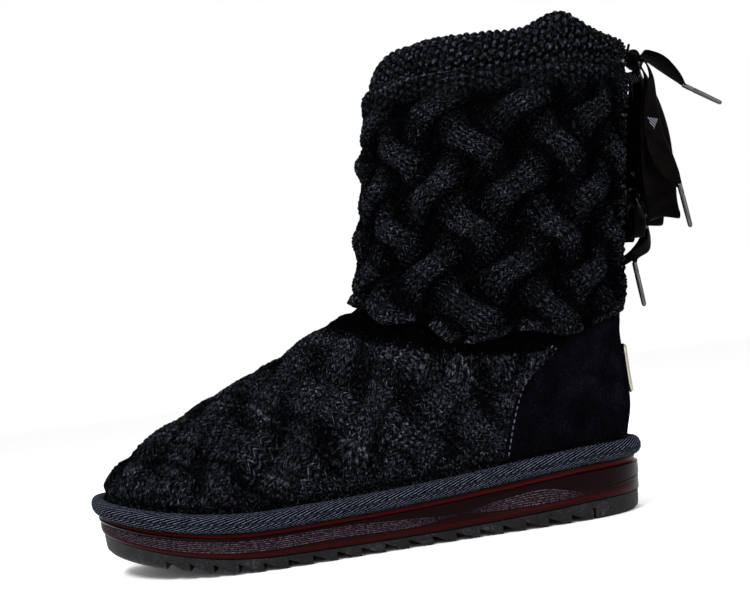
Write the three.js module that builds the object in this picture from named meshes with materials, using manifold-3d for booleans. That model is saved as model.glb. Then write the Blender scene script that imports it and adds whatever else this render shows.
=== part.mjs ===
// A pull-on winter ankle boot for the left foot: a cable-knit upper and shaft sleeve, a rib-knit collar,
// a suede heel counter, a taped rand, a ribbed midsole and a saw-toothed rubber outsole, tied at the back.
// Millimetres. +X points to the toe, +Y to the outer side and +Z up; the sole stands on z = 0.
import * as THREE from "three";
import Module from "manifold-3d";

const wasm = await Module();
wasm.setup();

// Overall sizes
const footLength = 272;
const ballWidth = 98;
const ankleHeight = 120;
const shaftRise = 102;
const collarRise = 20;
const shaftWidth = 97;

// Sole sizes
const soleHeelHeight = 26;
const soleBallHeight = 17.6;
const toeSpring = 14;
const springStart = 182;
const springCurve = 1.6;
const outsoleThickness = 9;
const toothPitch = 11;
const toothDepth = 4.2;
const toothLand = 1.6;
const toothCount = 18;
const heelBlockLength = 33;
const heelRest = 18;
const slitWidth = 1.1;
const slitDepth = 5.5;
const ribCount = 3;
const ribDepth = 0.9;
const insoleThickness = 3;

// Walls and layers of the upper
const randDiameter = 8.4;
const randDepth = 6.4;
const featherInset = 8;
const wall = 3.2;
const knitThickness = 3;
const vampRelief = 1.7;
const sleeveThickness = 3.4;
const sleeveRelief = 4.2;
const sleeveGap = 0.7;
const hemLip = 1.6;
const counterThickness = 2;
const collarThickness = 4;
const collarBulge = 0.8;
const collarHump = 9;
const humpPlace = 15;
const humpReach = 20;
const latticePitch = 38.6;
const strandWidth = 19;
const clearance = 0.4;
const featherGap = 0.7;

// The slit at the back, its bands, gusset, ribbons and badge
const slitFoot = 112;
const slitHalfLow = 3.5;
const slitHalfHigh = 9;
const bandWidth = 9;
const bandThickness = 7.6;
const bandFootRise = 3.2;
const gussetThickness = 1.6;
const gussetOverlap = 9;
const ribbonThickness = 0.8;
const barThickness = 1.2;
const upperBarTall = 9;
const upperBarReach = 7;
const lowerBarTall = 8;
const lowerBarReach = 5;
const knotGap = 0.6;
const agletDiameter = 2.8;
const agletLength = 20;
const badgeWidth = 15;
const badgeThickness = 1.7;
const badgeGap = 0.5;

// The plan of the sole: half width and sideways shift as shares of ballWidth, along the length, and how
// bluntly the plan rounds off towards its two ends
const planRows = [
  { at: 0.0, half: 0.355, shift: 0.0, blunt: 7 },
  { at: 0.15, half: 0.365, shift: 0.0, blunt: 6.7 },
  { at: 0.3, half: 0.37, shift: 0.012, blunt: 6.4 },
  { at: 0.43, half: 0.385, shift: 0.026, blunt: 6.1 },
  { at: 0.56, half: 0.425, shift: 0.028, blunt: 5.9 },
  { at: 0.68, half: 0.475, shift: 0.016, blunt: 5.6 },
  { at: 0.77, half: 0.5, shift: -0.002, blunt: 5.5 },
  { at: 0.88, half: 0.49, shift: -0.034, blunt: 5.2 },
  { at: 1.0, half: 0.44, shift: -0.065, blunt: 5 },
];

// The sole's side: drop from heel to ball height, outsole thickness as a share of its largest,
// and the ribbed band's lower and upper edge as shares of the midsole's height
const sideRows = [
  { at: 0.0, drop: 1.0, outsole: 1.0, low: 0.4, high: 0.43 },
  { at: 0.12, drop: 0.97, outsole: 0.95, low: 0.24, high: 0.3 },
  { at: 0.2, drop: 0.82, outsole: 0.82, low: 0.21, high: 0.62 },
  { at: 0.29, drop: 0.58, outsole: 0.7, low: 0.29, high: 0.57 },
  { at: 0.35, drop: 0.42, outsole: 0.63, low: 0.4, high: 0.45 },
  { at: 0.44, drop: 0.24, outsole: 0.6, low: 0.27, high: 0.56 },
  { at: 0.56, drop: 0.11, outsole: 0.61, low: 0.32, high: 0.73 },
  { at: 0.79, drop: 0.0, outsole: 0.74, low: 0.2, high: 0.69 },
  { at: 1.0, drop: 0.0, outsole: 1.05, low: 0.2, high: 0.66 },
];

// The last, ring by ring. backX and frontX are shares of the length inside the feather line; the rises
// count 0 to 1 up to the ankle, 1 to 2 up the shaft and on into the collar; half is a share of
// shaftWidth, and oval says how far the ring is a shaft oval rather than a foot dome; sag is a share of
// ankleHeight, taken from the middle of the ring
const ringRows = [
  { at: 0.0, backX: 0.0, backZ: 0.22, frontX: 1.0, frontZ: 0.253, sag: 0.0, half: 0.39, oval: 0 },
  { at: 0.08, backX: -0.001, backZ: 0.29, frontX: 1.0, frontZ: 0.333, sag: 0.0, half: 0.39, oval: 0 },
  { at: 0.23, backX: -0.016, backZ: 0.425, frontX: 0.957, frontZ: 0.45, sag: 0.0, half: 0.39, oval: 0 },
  { at: 0.39, backX: -0.016, backZ: 0.542, frontX: 0.848, frontZ: 0.572, sag: -0.02, half: 0.39, oval: 0 },
  { at: 0.53, backX: -0.016, backZ: 0.642, frontX: 0.713, frontZ: 0.697, sag: -0.06, half: 0.39, oval: 0.15 },
  { at: 0.64, backX: -0.016, backZ: 0.725, frontX: 0.586, frontZ: 0.828, sag: -0.1, half: 0.39, oval: 0.45 },
  { at: 0.71, backX: -0.022, backZ: 0.825, frontX: 0.479, frontZ: 0.957, sag: -0.12, half: 0.4, oval: 0.75 },
  { at: 0.8, backX: -0.024, backZ: 1.02, frontX: 0.441, frontZ: 1.22, sag: -0.09, half: 0.437, oval: 1 },
  { at: 0.92, backX: -0.06, backZ: 1.588, frontX: 0.41, frontZ: 1.685, sag: -0.055, half: 0.479, oval: 1 },
  { at: 1.0, backX: -0.086, backZ: 1.938, frontX: 0.395, frontZ: 1.95, sag: -0.065, half: 0.5, oval: 1 },
  { at: 1.08, backX: -0.1, backZ: 2.35, frontX: 0.355, frontZ: 2.8, sag: -0.033, half: 0.475, oval: 1 },
];

// The counter's front edge along the sole, as a share of footLength, from the feather to the hem
const counterRows = [
  { at: 0.0, edge: 0.309 },
  { at: 0.23, edge: 0.279 },
  { at: 0.45, edge: 0.243 },
  { at: 0.6, edge: 0.2 },
  { at: 0.72, edge: 0.15 },
];

// Where the layers start and end up the rings, how high the bows sit, and where the shaft's lattice starts
const hemRing = 0.712;
const creaseRing = 1.0;
const liningTopRing = 1.055;
const collarTopRing = 1.08;
const randRing = 0.08;
const upperBowRise = 2.125;
const lowerBowRise = 1.328;
const latticeStart = 0.484;
const latticeRise = 1.563;
const latticeTilt = 0.12;
const badgeFootRing = 0.28;
const badgeTopRing = 0.565;
const columns = 56;
const collarColumns = 36;

const lerp = (a, b, share) => a + (b - a) * share;
const clamp01 = (value) => Math.min(1, Math.max(0, value));
const smooth = (from, to, value) => {
  const share = clamp01((value - from) / (to - from));
  return share * share * (3 - 2 * share);
};

// Reads one column of a table by a smooth curve through its rows
function read(rows, column, at) {
  const last = rows.length - 1;
  let i = 0;
  while (i < last - 1 && at > rows[i + 1].at) i += 1;
  const slope = (k) => {
    const a = rows[Math.max(0, k - 1)];
    const b = rows[Math.min(last, k + 1)];
    return (b[column] - a[column]) / (b.at - a.at);
  };
  const step = rows[i + 1].at - rows[i].at;
  const s = Math.min(1.1, Math.max(0, (at - rows[i].at) / step));
  const s2 = s * s;
  const s3 = s2 * s;
  return (
    (2 * s3 - 3 * s2 + 1) * rows[i][column] +
    (s3 - 2 * s2 + s) * step * slope(i) +
    (3 * s2 - 2 * s3) * rows[i + 1][column] +
    (s3 - s2) * step * slope(i + 1)
  );
}

// The sole's heights
const spring = (x) => {
  const share = Math.max(0, x - springStart) / (footLength - springStart);
  return toeSpring * share ** springCurve;
};
const soleTop = (x) => {
  const drop = read(sideRows, "drop", clamp01(x / footLength));
  return soleBallHeight + (soleHeelHeight - soleBallHeight) * drop + spring(x);
};
const outsoleTop = (x) => outsoleThickness * read(sideRows, "outsole", clamp01(x / footLength)) + spring(x);

// Angles run from the back of the heel along the outer side to the toe and back; their spacing turns
// from nearly even along the foot to even round the shaft
function angleAt(share, ring) {
  const side = share <= 0.5 ? 1 : -1;
  const along = share <= 0.5 ? share * 2 : (1 - share) * 2;
  const even = Math.acos(1 - 2 * along);
  const round = Math.PI * along;
  return side * lerp(even, round, lerp(0.8, 1, smooth(0.5, 0.8, ring)));
}

// How the plan rounds off towards both ends: blunt at the heel, rounder at the toe
const planRound = (share) => {
  return Math.sqrt(Math.max(0, 1 - Math.abs(1 - 2 * share) ** read(planRows, "blunt", share)));
};

// A point of the sole's plan, moved in from the outline by an inset
function planPoint(angle, inset) {
  const share = (1 - Math.cos(angle)) / 2;
  const half = (read(planRows, "half", share) * ballWidth - inset) * planRound(share);
  return {
    x: inset + share * (footLength - 2 * inset),
    y: read(planRows, "shift", share) * ballWidth + Math.sign(angle) * half,
  };
}

// Height of a rise: 0 to 1 below the ankle, 1 to 2 along the shaft, above 2 in the collar
const height = (rise) =>
  ankleHeight * Math.min(1, rise) +
  shaftRise * Math.min(1, Math.max(0, rise - 1)) +
  collarRise * Math.max(0, rise - 2);

const lastLength = footLength - 2 * featherInset;
const backOf = (ring) => ({
  x: featherInset + lastLength * read(ringRows, "backX", ring),
  z: height(read(ringRows, "backZ", ring)),
});
const frontOf = (ring) => ({
  x: featherInset + lastLength * read(ringRows, "frontX", ring),
  z: height(read(ringRows, "frontZ", ring)),
});

// Height of the instep above a place along the foot, from the front ends of the rings
const instep = [];
for (let ring = randRing; ring <= collarTopRing; ring += 0.01) instep.push(frontOf(ring));
function instepAt(x) {
  let i = 1;
  while (i < instep.length - 1 && instep[i].x > x) i += 1;
  const share = (x - instep[i - 1].x) / (instep[i].x - instep[i - 1].x || 1);
  return x > instep[0].x ? instep[0].z : lerp(instep[i - 1].z, instep[i].z, Math.max(0, share));
}

// A point of the last's surface, which is the outside of the lining
function lastPoint(ring, angle) {
  const back = backOf(ring);
  const front = frontOf(ring);
  const share = (1 - Math.cos(angle)) / 2;
  const x = lerp(back.x, front.x, share);
  const feather = soleTop(x) + featherGap - lerp(backOf(0).z, frontOf(0).z, share);
  const sag = read(ringRows, "sag", ring) * ankleHeight * 4 * share * (1 - share);
  const swell = Math.exp(-(((x - humpPlace) / humpReach) ** 2));
  const hump = collarHump * swell * smooth(creaseRing, collarTopRing, ring);
  const z = lerp(back.z, front.z, share) + feather * (1 - smooth(randRing, 0.45, ring)) + sag + hump;
  const toeEnd = ring < randRing ? front.x : Math.max(front.x, footLength - featherInset);
  const along = clamp01((x - back.x) / (toeEnd - back.x));
  const plan = read(planRows, "half", along) * ballWidth - featherInset;
  const low = soleTop(x) + clearance + randDiameter;
  const up = clamp01((z - low) / Math.max(1, instepAt(x) - low));
  const bulge = 1 + 0.09 * Math.sin(Math.PI * Math.min(1, up * 1.7));
  const dome = Math.sqrt(Math.max(0, 1 - up ** 2.3));
  const foot = plan * planRound(along) * dome * bulge;
  const oval = read(ringRows, "half", ring) * shaftWidth * Math.sqrt(1 - Math.abs(Math.cos(angle)) ** 2.15);
  const shaft = clamp01(read(ringRows, "oval", ring));
  const shift = read(planRows, "shift", along) * ballWidth * (1 - shaft);
  return new THREE.Vector3(x, shift + Math.sign(angle) * lerp(foot, oval, shaft), z);
}

// The last's surface moved out by a depth: along its normal on the foot, turning into the ring's own
// plane round the shaft, and level behind the rand
function surface(ring, angle, depth, planar = smooth(hemRing - 0.01, hemRing + 0.04, ring)) {
  const point = lastPoint(ring, angle);
  const reach = 0.02;
  const round = lastPoint(ring, angle + reach).sub(lastPoint(ring, angle - reach));
  if (Math.abs(Math.sin(angle)) < 1e-6) round.set(0, Math.cos(angle), 0);
  const up = lastPoint(ring + reach, angle).sub(lastPoint(Math.max(0, ring - reach), angle));
  const along = lastPoint(ring, Math.PI).sub(lastPoint(ring, 0)).normalize();
  const free = up.cross(round).normalize();
  const level = new THREE.Vector3(-along.z, 0, along.x).cross(round).normalize();
  free.z *= smooth(0, randRing, ring);
  return point.addScaledVector(free.lerp(level, planar).normalize(), depth);
}
const ringSurface = (ring, angle, depth) => surface(ring, angle, depth, 1);

// Height of a plain weave of raised strips at 45 degrees, from 0 in a gap to 1 on an upper strip
function weave(a, b) {
  const first = (a - b) / latticePitch;
  const second = (a + b) / latticePitch;
  const half = strandWidth / 2 / (latticePitch / Math.SQRT2);
  const strip = (across, lift) => {
    const off = Math.abs(across - Math.floor(across) - 0.5) / half;
    return Math.sqrt(Math.max(0, 1 - off * off)) * (0.68 + 0.32 * lift);
  };
  const liftFirst = Math.cos(Math.PI * (second - 0.5 + Math.floor(first)));
  const liftSecond = -Math.cos(Math.PI * (first - 0.5 + Math.floor(second)));
  return Math.max(strip(first, liftFirst), strip(second, liftSecond));
}

// The weave on the vamp runs over the instep, and the one on the shaft round it
function vampWeave(ring, angle) {
  const p = lastPoint(ring, angle);
  const top = Math.min(ankleHeight, instepAt(p.x));
  const girth = Math.sign(angle) * Math.hypot(top - p.z, p.y) * 1.08;
  return weave(p.x, girth + latticePitch / 4);
}
const shaftGirth = Math.PI * 0.62 * shaftWidth;
function shaftWeave(ring, angle) {
  const p = lastPoint(ring, angle);
  const turn = angle < 0 ? angle + 2 * Math.PI : angle;
  const rise = p.z - latticeTilt * (p.x - 0.22 * footLength) - height(latticeRise);
  return weave((turn / Math.PI - latticeStart) * shaftGirth, rise);
}

// A solid from a list of faces and points, turned so that its faces point outwards
function solidOf(points, faces) {
  const vertProperties = new Float32Array(points.flatMap((p) => [p.x, p.y, p.z]));
  const make = (list) => {
    const mesh = new wasm.Mesh({ numProp: 3, vertProperties, triVerts: new Uint32Array(list.flat()) });
    mesh.merge();
    return new wasm.Manifold(mesh);
  };
  const volume = faces.reduce((sum, [a, b, c]) => {
    const cross = new THREE.Vector3().crossVectors(points[b], points[c]);
    return sum + points[a].dot(cross);
  }, 0);
  return make(volume > 0 ? faces : faces.map(([a, b, c]) => [a, c, b]));
}

// Joins closed loops of points into a skin, from the first to the last or round to the first again. One
// side of each loop can be split along its other diagonal
function skin(loops, { closed = true, turnedSide = -1 } = {}) {
  const count = loops[0].length;
  const faces = [];
  const rows = closed ? loops.length : loops.length - 1;
  for (let i = 0; i < rows; i += 1) {
    const next = (i + 1) % loops.length;
    for (let j = 0; j < count; j += 1) {
      const k = (j + 1) % count;
      const [a, b, c, d] = [i * count + j, next * count + j, next * count + k, i * count + k];
      if (j === turnedSide) faces.push([a, b, d], [b, c, d]);
      else faces.push([a, b, c], [a, c, d]);
    }
  }
  return { points: loops.flat(), faces };
}

// A band round the last: profile(angle, share) gives the points of its cross-section at one angle
function ringPiece(profile, count = columns) {
  const sections = profile(0).length;
  const loops = [];
  for (let i = 0; i < sections; i += 1) loops.push([]);
  for (let j = 0; j < count; j += 1) {
    profile(j / count).forEach((point, i) => loops[i].push(point));
  }
  const { points, faces } = skin(loops);
  return solidOf(points, faces);
}

// A patch of the last between two depths, rows by columns, with its four edges closed
function patchPiece(place, rows, across) {
  const outer = [];
  const inner = [];
  for (let i = 0; i <= rows; i += 1) {
    for (let j = 0; j <= across; j += 1) {
      outer.push(place(i / rows, (2 * j) / across - 1, 1));
      inner.push(place(i / rows, (2 * j) / across - 1, 0));
    }
  }
  const points = [...outer, ...inner];
  const width = across + 1;
  const shift = outer.length;
  const faces = [];
  for (let i = 0; i < rows; i += 1) {
    for (let j = 0; j < across; j += 1) {
      const a = i * width + j;
      const b = a + width;
      faces.push([a, a + 1, b + 1], [a, b + 1, b]);
      faces.push([a + shift, b + 1 + shift, a + 1 + shift], [a + shift, b + shift, b + 1 + shift]);
    }
  }
  const edge = (a, b) => faces.push([a, a + shift, b + shift], [a, b + shift, b]);
  for (let j = 0; j < across; j += 1) {
    edge(j, j + 1);
    edge(rows * width + j + 1, rows * width + j);
  }
  for (let i = 0; i < rows; i += 1) {
    edge((i + 1) * width, i * width);
    edge(i * width + across, (i + 1) * width + across);
  }
  return solidOf(points, faces);
}

// A slab of the sole: levels from the bottom up, each with an inset and a height over the plan
function slabPiece(levels, count = columns) {
  const loops = levels.map((level) => {
    const loop = [];
    for (let j = 0; j < count; j += 1) {
      const angle = angleAt(j / count, 0);
      const p = planPoint(angle, level.inset(planPoint(angle, 0).x));
      loop.push(new THREE.Vector3(p.x, p.y, level.z(p.x)));
    }
    return loop;
  });
  const { points, faces } = skin(loops, { closed: false });
  const cap = (start, flip) => {
    for (let j = 0; j < count / 2; j += 1) {
      const a = start + j;
      const b = start + j + 1;
      const c = start + ((count - j - 1) % count);
      const d = start + ((count - j) % count);
      if (b !== c) faces.push(flip ? [a, b, c] : [a, c, b]);
      if (j > 0) faces.push(flip ? [a, c, d] : [a, d, c]);
    }
  };
  cap(0, true);
  cap((levels.length - 1) * count, false);
  return solidOf(points, faces);
}

// A flat outline in x and z, pushed through the whole width of the sole or boot
function prism(outline, halfDepth) {
  const shape = new THREE.Shape(outline.map(([x, z]) => new THREE.Vector2(x, z)));
  const geometry = new THREE.ExtrudeGeometry(shape, { depth: 2 * halfDepth, bevelEnabled: false });
  geometry.translate(0, 0, -halfDepth);
  geometry.rotateX(Math.PI / 2);
  return fromGeometry(geometry);
}

function fromGeometry(geometry) {
  const position = geometry.getAttribute("position");
  const index = geometry.index ? [...geometry.index.array] : [...Array(position.count).keys()];
  const points = [];
  const places = new Map();
  const faces = [];
  const merged = index.map((i) => {
    const p = new THREE.Vector3().fromBufferAttribute(position, i);
    const key = [p.x, p.y, p.z].map((value) => Math.round(value * 1e4)).join();
    if (!places.has(key)) places.set(key, points.push(p) - 1);
    return places.get(key);
  });
  for (let i = 0; i < merged.length; i += 3) {
    const [a, b, c] = merged.slice(i, i + 3);
    if (a !== b && b !== c && c !== a) faces.push([a, b, c]);
  }
  return solidOf(points, faces);
}

// Half the slit's width at a height
const slitHalf = (z) => lerp(slitHalfLow, slitHalfHigh, (z - slitFoot) / (height(4) - slitFoot));

// The V of the back slit, widened by a margin on each side, as a prism that cuts the back only
function slitPrism(margin, foot) {
  const top = height(4);
  const low = slitHalf(foot) + margin;
  const high = slitHalfHigh + margin;
  const shape = new THREE.Shape([
    new THREE.Vector2(-low, foot),
    new THREE.Vector2(low, foot),
    new THREE.Vector2(high, top),
    new THREE.Vector2(-high, top),
  ]);
  const geometry = new THREE.ExtrudeGeometry(shape, { depth: footLength * 0.4, bevelEnabled: false });
  geometry.rotateX(Math.PI / 2);
  geometry.rotateZ(Math.PI / 2);
  geometry.translate(-footLength * 0.25, 0, 0);
  return fromGeometry(geometry);
}

// Depth of the knit over the last: thin behind the rand, full on the vamp, gone under the sleeve
function knitDepth(ring, angle) {
  const rise = smooth(randRing, randRing + 0.04, ring);
  const fall = 1 - smooth(hemRing - 0.026, hemRing, ring);
  const relief = vampRelief * (vampWeave(ring, angle) - 0.6) * smooth(0.1, 0.2, ring);
  return 1 + (knitThickness - 1 + relief) * rise * fall - (1 - fall);
}

const steps = (from, to, count) => Array.from({ length: count + 1 }, (_, i) => lerp(from, to, i / count));

// Rings round the shaft that the lining, the sleeve and the gusset share
const shaftRings = steps(hemRing + 0.028, creaseRing + 0.01, 5);

function makeUpper() {
  const vampRings = steps(randRing + 0.025, hemRing - 0.015, 15);
  const outerRings = [0, randRing, ...vampRings, hemRing + 0.004, ...shaftRings, liningTopRing];
  const innerRings = [liningTopRing, ...[...shaftRings].reverse(), 0.66, 0.52, 0.36, 0.2, randRing, 0];
  return ringPiece((share) => [
    ...outerRings.map((ring) => {
      const angle = angleAt(share, ring);
      return surface(ring, angle, knitDepth(ring, angle));
    }),
    ...innerRings.map((ring) => surface(ring, angleAt(share, ring), -wall)),
  ])
    .subtract(makeCounter(-0.35, 3 * knitThickness, 1))
    .subtract(slitPrism(0, slitFoot));
}

// The heel counter from a depth inside to one outside, with its edges moved on by a margin
function makeCounter(inside, outside, margin) {
  const grow = 0.014 * margin;
  const place = (up, across, out) => {
    const ring = lerp(randRing + 0.006 - grow, hemRing - 0.014 + grow / 2, up);
    const back = backOf(ring);
    const edge = footLength * read(counterRows, "edge", ring) + margin;
    const share = (edge - back.x) / (frontOf(ring).x - back.x);
    const angle = across * Math.acos(1 - 2 * share);
    return surface(ring, angle, out ? outside : inside);
  };
  return patchPiece(place, 7, 12);
}

function makeSleeve() {
  const outerRings = steps(hemRing + 0.012, creaseRing - 0.006, 11);
  const inner = sleeveGap;
  const hem = (share) => hemRing + 0.005 * Math.cos((share * 2 - 1) * Math.PI * 8);
  return ringPiece((share) => [
    ...outerRings.map((ring) => {
      const angle = angleAt(share, ring);
      const relief = sleeveRelief * shaftWeave(ring, angle);
      const fade = smooth(hemRing, hemRing + 0.03, ring) * (1 - smooth(creaseRing - 0.03, creaseRing, ring));
      return ringSurface(ring, angle, inner + sleeveThickness + lerp(0.6 * sleeveRelief, relief, fade));
    }),
    ringSurface(creaseRing + 0.004, angleAt(share, creaseRing), inner + sleeveThickness),
    ...[...shaftRings.slice(0, -1), creaseRing]
      .reverse()
      .map((ring) => ringSurface(ring, angleAt(share, ring), inner)),
    ringSurface(hem(share), angleAt(share, hem(share)), inner + hemLip),
    ringSurface(hem(share) - 0.003, angleAt(share, hem(share)), inner + sleeveThickness),
  ]).subtract(slitPrism(bandWidth + clearance, slitFoot - bandWidth * 0.5));
}

function makeCollar() {
  const seat = 2 * clearance;
  const inner = -wall - seat;
  const profile = [
    [creaseRing + 0.01, seat],
    [creaseRing + 0.008, collarThickness],
    [creaseRing + 0.025, collarThickness + 0.6],
    [creaseRing + 0.045, collarThickness + 0.3],
    [creaseRing + 0.064, collarThickness - 0.6],
    [collarTopRing, collarThickness - 2.6],
    [collarTopRing + 0.004, -wall * 0.5],
    [collarTopRing - 0.002, inner - collarThickness * 0.4],
    [liningTopRing, inner - collarThickness * 0.7],
    [creaseRing + 0.02, inner - collarThickness * 0.6],
    [creaseRing + 0.02, inner],
    [liningTopRing + 0.004, inner],
    [liningTopRing + 0.004, seat],
  ];
  return ringPiece(
    (share) => profile.map(([ring, depth]) => ringSurface(ring, angleAt(share, ring), depth)),
    collarColumns,
  ).subtract(slitPrism(0, slitFoot));
}

// The angle round the shaft at which a layer of some depth has a sideways distance y from the middle
function angleAcross(ring, y, depth) {
  const half = read(ringRows, "half", ring) * shaftWidth + depth;
  const angle = Math.acos((1 - Math.min(1, Math.abs(y) / half) ** 2) ** (1 / 2.15));
  return Math.sign(y) * angle;
}

// The ring whose back point lies at a height
function ringAtBack(z) {
  let low = 0;
  let high = collarTopRing;
  for (let i = 0; i < 30; i += 1) {
    const middle = (low + high) / 2;
    if (backOf(middle).z < z) low = middle;
    else high = middle;
  }
  return low;
}

function makeBand(side) {
  const foot = ringAtBack(slitFoot - bandWidth * 0.5 + bandFootRise);
  const place = (up, across, out) => {
    const ring = lerp(foot, creaseRing - 0.002, up);
    const depth = out ? bandThickness : 2.6 * clearance;
    const y = side * (slitHalf(backOf(ring).z) + bandWidth * ((across + 1) / 2));
    const point = ringSurface(ring, angleAcross(ring, y, depth), depth);
    point.y = y;
    return point;
  };
  return patchPiece(place, 9, 2);
}

function makeGusset() {
  const outside = -wall - 1.25 * clearance;
  const place = (up, across, out) => {
    const ring = shaftRings[Math.round(up * (shaftRings.length - 1))];
    const y = across * (slitHalf(backOf(ring).z) + gussetOverlap);
    const depth = out ? outside : outside - gussetThickness;
    return ringSurface(ring, angleAcross(ring, y, depth), depth);
  };
  return patchPiece(place, shaftRings.length - 1, 8);
}

// A flat run of ribbon across the slit, from one edge to the other, over what it lies on
function makeBar({ rise, tall, reach, over }) {
  const middle = height(rise);
  const low = ringAtBack(middle - tall / 2);
  const high = ringAtBack(middle + tall / 2);
  const place = (up, across, out) => {
    const ring = lerp(low, high, up);
    const level = over + clearance + (out ? barThickness : 0);
    const y = across * (slitHalf(middle) + reach);
    return ringSurface(ring, angleAcross(ring, y, level), level);
  };
  return patchPiece(place, 2, 6);
}

// The angle at which a ring of the foot has a sideways distance y from the middle
function angleBeside(ring, y) {
  let low = 0;
  let high = 1;
  for (let i = 0; i < 30; i += 1) {
    const middle = (low + high) / 2;
    if (Math.abs(lastPoint(ring, middle).y) < Math.abs(y)) low = middle;
    else high = middle;
  }
  return Math.sign(y) * low;
}

function makeBadge() {
  const rest = counterThickness + badgeGap;
  const place = (up, across, out) => {
    const ring = lerp(badgeFootRing, badgeTopRing, up);
    const round = Math.sqrt(1 - Math.abs(2 * up - 1) ** 8 * 0.35);
    const angle = angleBeside(ring, (across * round * badgeWidth) / 2);
    return surface(ring, angle, out ? rest + badgeThickness : rest);
  };
  return patchPiece(place, 5, 4);
}

function makeRand() {
  const radius = randDiameter / 2;
  return ringPiece((share) => {
    const angle = angleAt(share, 0);
    return steps(0, 5, 5).map((i) => {
      const turn = (i / 6) * 2 * Math.PI;
      const inset = randDepth * (0.5 - 0.5 * Math.cos(turn));
      const p = planPoint(angle, inset);
      const rise = radius * (1 + Math.sin(turn) / Math.sin(Math.PI / 3));
      return new THREE.Vector3(p.x, p.y, soleTop(p.x) + clearance + rise);
    });
  });
}

function makeMidsole() {
  const share = (x) => clamp01(x / footLength);
  const low = (x) => read(sideRows, "low", share(x));
  const high = (x) => read(sideRows, "high", share(x));
  const bottom = (x) => outsoleTop(x) + clearance;
  const at = (part) => (x) => lerp(bottom(x), soleTop(x), part(x));
  const levels = [
    { inset: () => 4.3, z: bottom },
    { inset: () => 3.7, z: at((x) => low(x) - 0.03) },
  ];
  for (let i = 0; i <= 2 * ribCount; i += 1) {
    const part = (x) => lerp(low(x), high(x), i / (2 * ribCount));
    const depth = (x) => ribDepth * Math.min(1, (high(x) - low(x)) / 0.3);
    levels.push({ inset: (x) => 3.4 + (i % 2 ? 0 : depth(x)), z: at(part) });
  }
  levels.push({ inset: () => 3.1, z: at((x) => Math.min(0.78, high(x) + 0.04)) });
  levels.push({ inset: () => 2.7, z: at(() => 0.8) });
  levels.push({ inset: () => 3.9, z: at(() => 0.84) });
  levels.push({ inset: () => 4.3, z: at(() => 0.92) });
  levels.push({ inset: () => 3.3, z: soleTop });
  return slabPiece(levels);
}

function makeOutsole() {
  const slab = slabPiece([
    { inset: () => 6.4, z: spring },
    { inset: () => 5.2, z: (x) => spring(x) + 0.22 * outsoleThickness },
    { inset: () => 4.5, z: outsoleTop },
  ]);
  const outline = [];
  const below = -toeSpring;
  const firstTip = heelBlockLength + slitWidth;
  outline.push([heelBlockLength, below], [heelBlockLength, slitDepth], [firstTip, slitDepth]);
  for (let i = 0; i < toothCount; i += 1) {
    const tip = firstTip + i * toothPitch;
    const floor = spring(tip);
    outline.push([tip, floor], [tip + toothLand, spring(tip + toothLand)]);
    outline.push([tip + toothPitch, spring(tip + toothPitch) + toothDepth]);
  }
  const lastTip = firstTip + toothCount * toothPitch;
  outline.push([lastTip, spring(lastTip)], [lastTip, below]);
  return slab.subtract(prism(outline, ballWidth));
}

function makeInsole() {
  const inset = featherInset + 1.4 * wall + clearance;
  const low = (x) => soleTop(x) + clearance;
  return slabPiece([
    { inset: () => inset, z: low },
    { inset: () => inset, z: (x) => low(x) + insoleThickness },
  ]);
}

// The bows' routes: points as chosen, counted from the knot's middle, with the direction and size of the
// ribbon's width
const upperBow = {
  rise: upperBowRise,
  tall: upperBarTall,
  reach: upperBarReach,
  over: collarThickness + collarBulge,
  knotSize: [8.4, 13, 11],
  loop: [
    { at: [-0.1, 7.1, -4], across: [0.3, 0.9, 0.3], width: 5 },
    { at: [-2.2, 9.5, -13], across: [0.6, 0.8, 0], width: 8 },
    { at: [-1.8, 12.5, -26], across: [0.9, 0.45, 0], width: 12 },
    { at: [-0.4, 15, -42], across: [1, 0.25, 0], width: 16 },
    { at: [1.6, 16.5, -60], across: [1, 0.2, 0], width: 18 },
    { at: [2.4, 16.5, -76], across: [1, 0.2, 0], width: 17 },
    { at: [1.2, 13, -84.5], across: [1, 0.15, 0.1], width: 16 },
    { at: [0.2, 9, -79], across: [1, 0.1, 0.1], width: 15 },
    { at: [-1.8, 7, -61], across: [1, 0.1, 0], width: 15 },
    { at: [-2.5, 5.2, -42], across: [1, 0.15, 0], width: 14 },
    { at: [-2.9, 4.2, -23], across: [0.9, 0.4, 0], width: 10 },
    { at: [-1.3, 3.4, -7], across: [0.5, 0.9, 0], width: 5 },
  ],
  leftTail: [
    { at: [-4.5, 0.5, 1.5], across: [0, 1, 0.2], width: 7 },
    { at: [-9, 2, -0.6], across: [0, 1, 0.25], width: 11 },
    { at: [-14, 3.5, -5.4], across: [0, 1, 0.3], width: 12 },
    { at: [-19.5, 5, -12.8], across: [0, 1, 0.3], width: 8 },
    { at: [-22.6, 5.5, -18], across: [0, 1, 0.2], width: 3.2 },
  ],
  leftTip: [-38.9, 6.5, -29],
  rightTail: [
    { at: [-3.4, 5.2, -2.6], across: [0.5, 0.85, 0], width: 4.5 },
    { at: [-3.2, 13.4, -13], across: [0.6, 0.8, 0], width: 6 },
    { at: [0.6, 18.6, -27], across: [0.9, 0.45, 0], width: 8 },
    { at: [2.6, 21, -43], across: [1, 0.25, 0], width: 10 },
    { at: [0.8, 22.5, -56], across: [1, 0.2, 0], width: 12 },
    { at: [-2.4, 23, -66], across: [1, 0.2, 0], width: 9 },
    { at: [-5.3, 23, -72], across: [1, 0.2, 0], width: 3.2 },
  ],
  rightTip: [-7.6, 22.5, -92],
};
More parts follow.
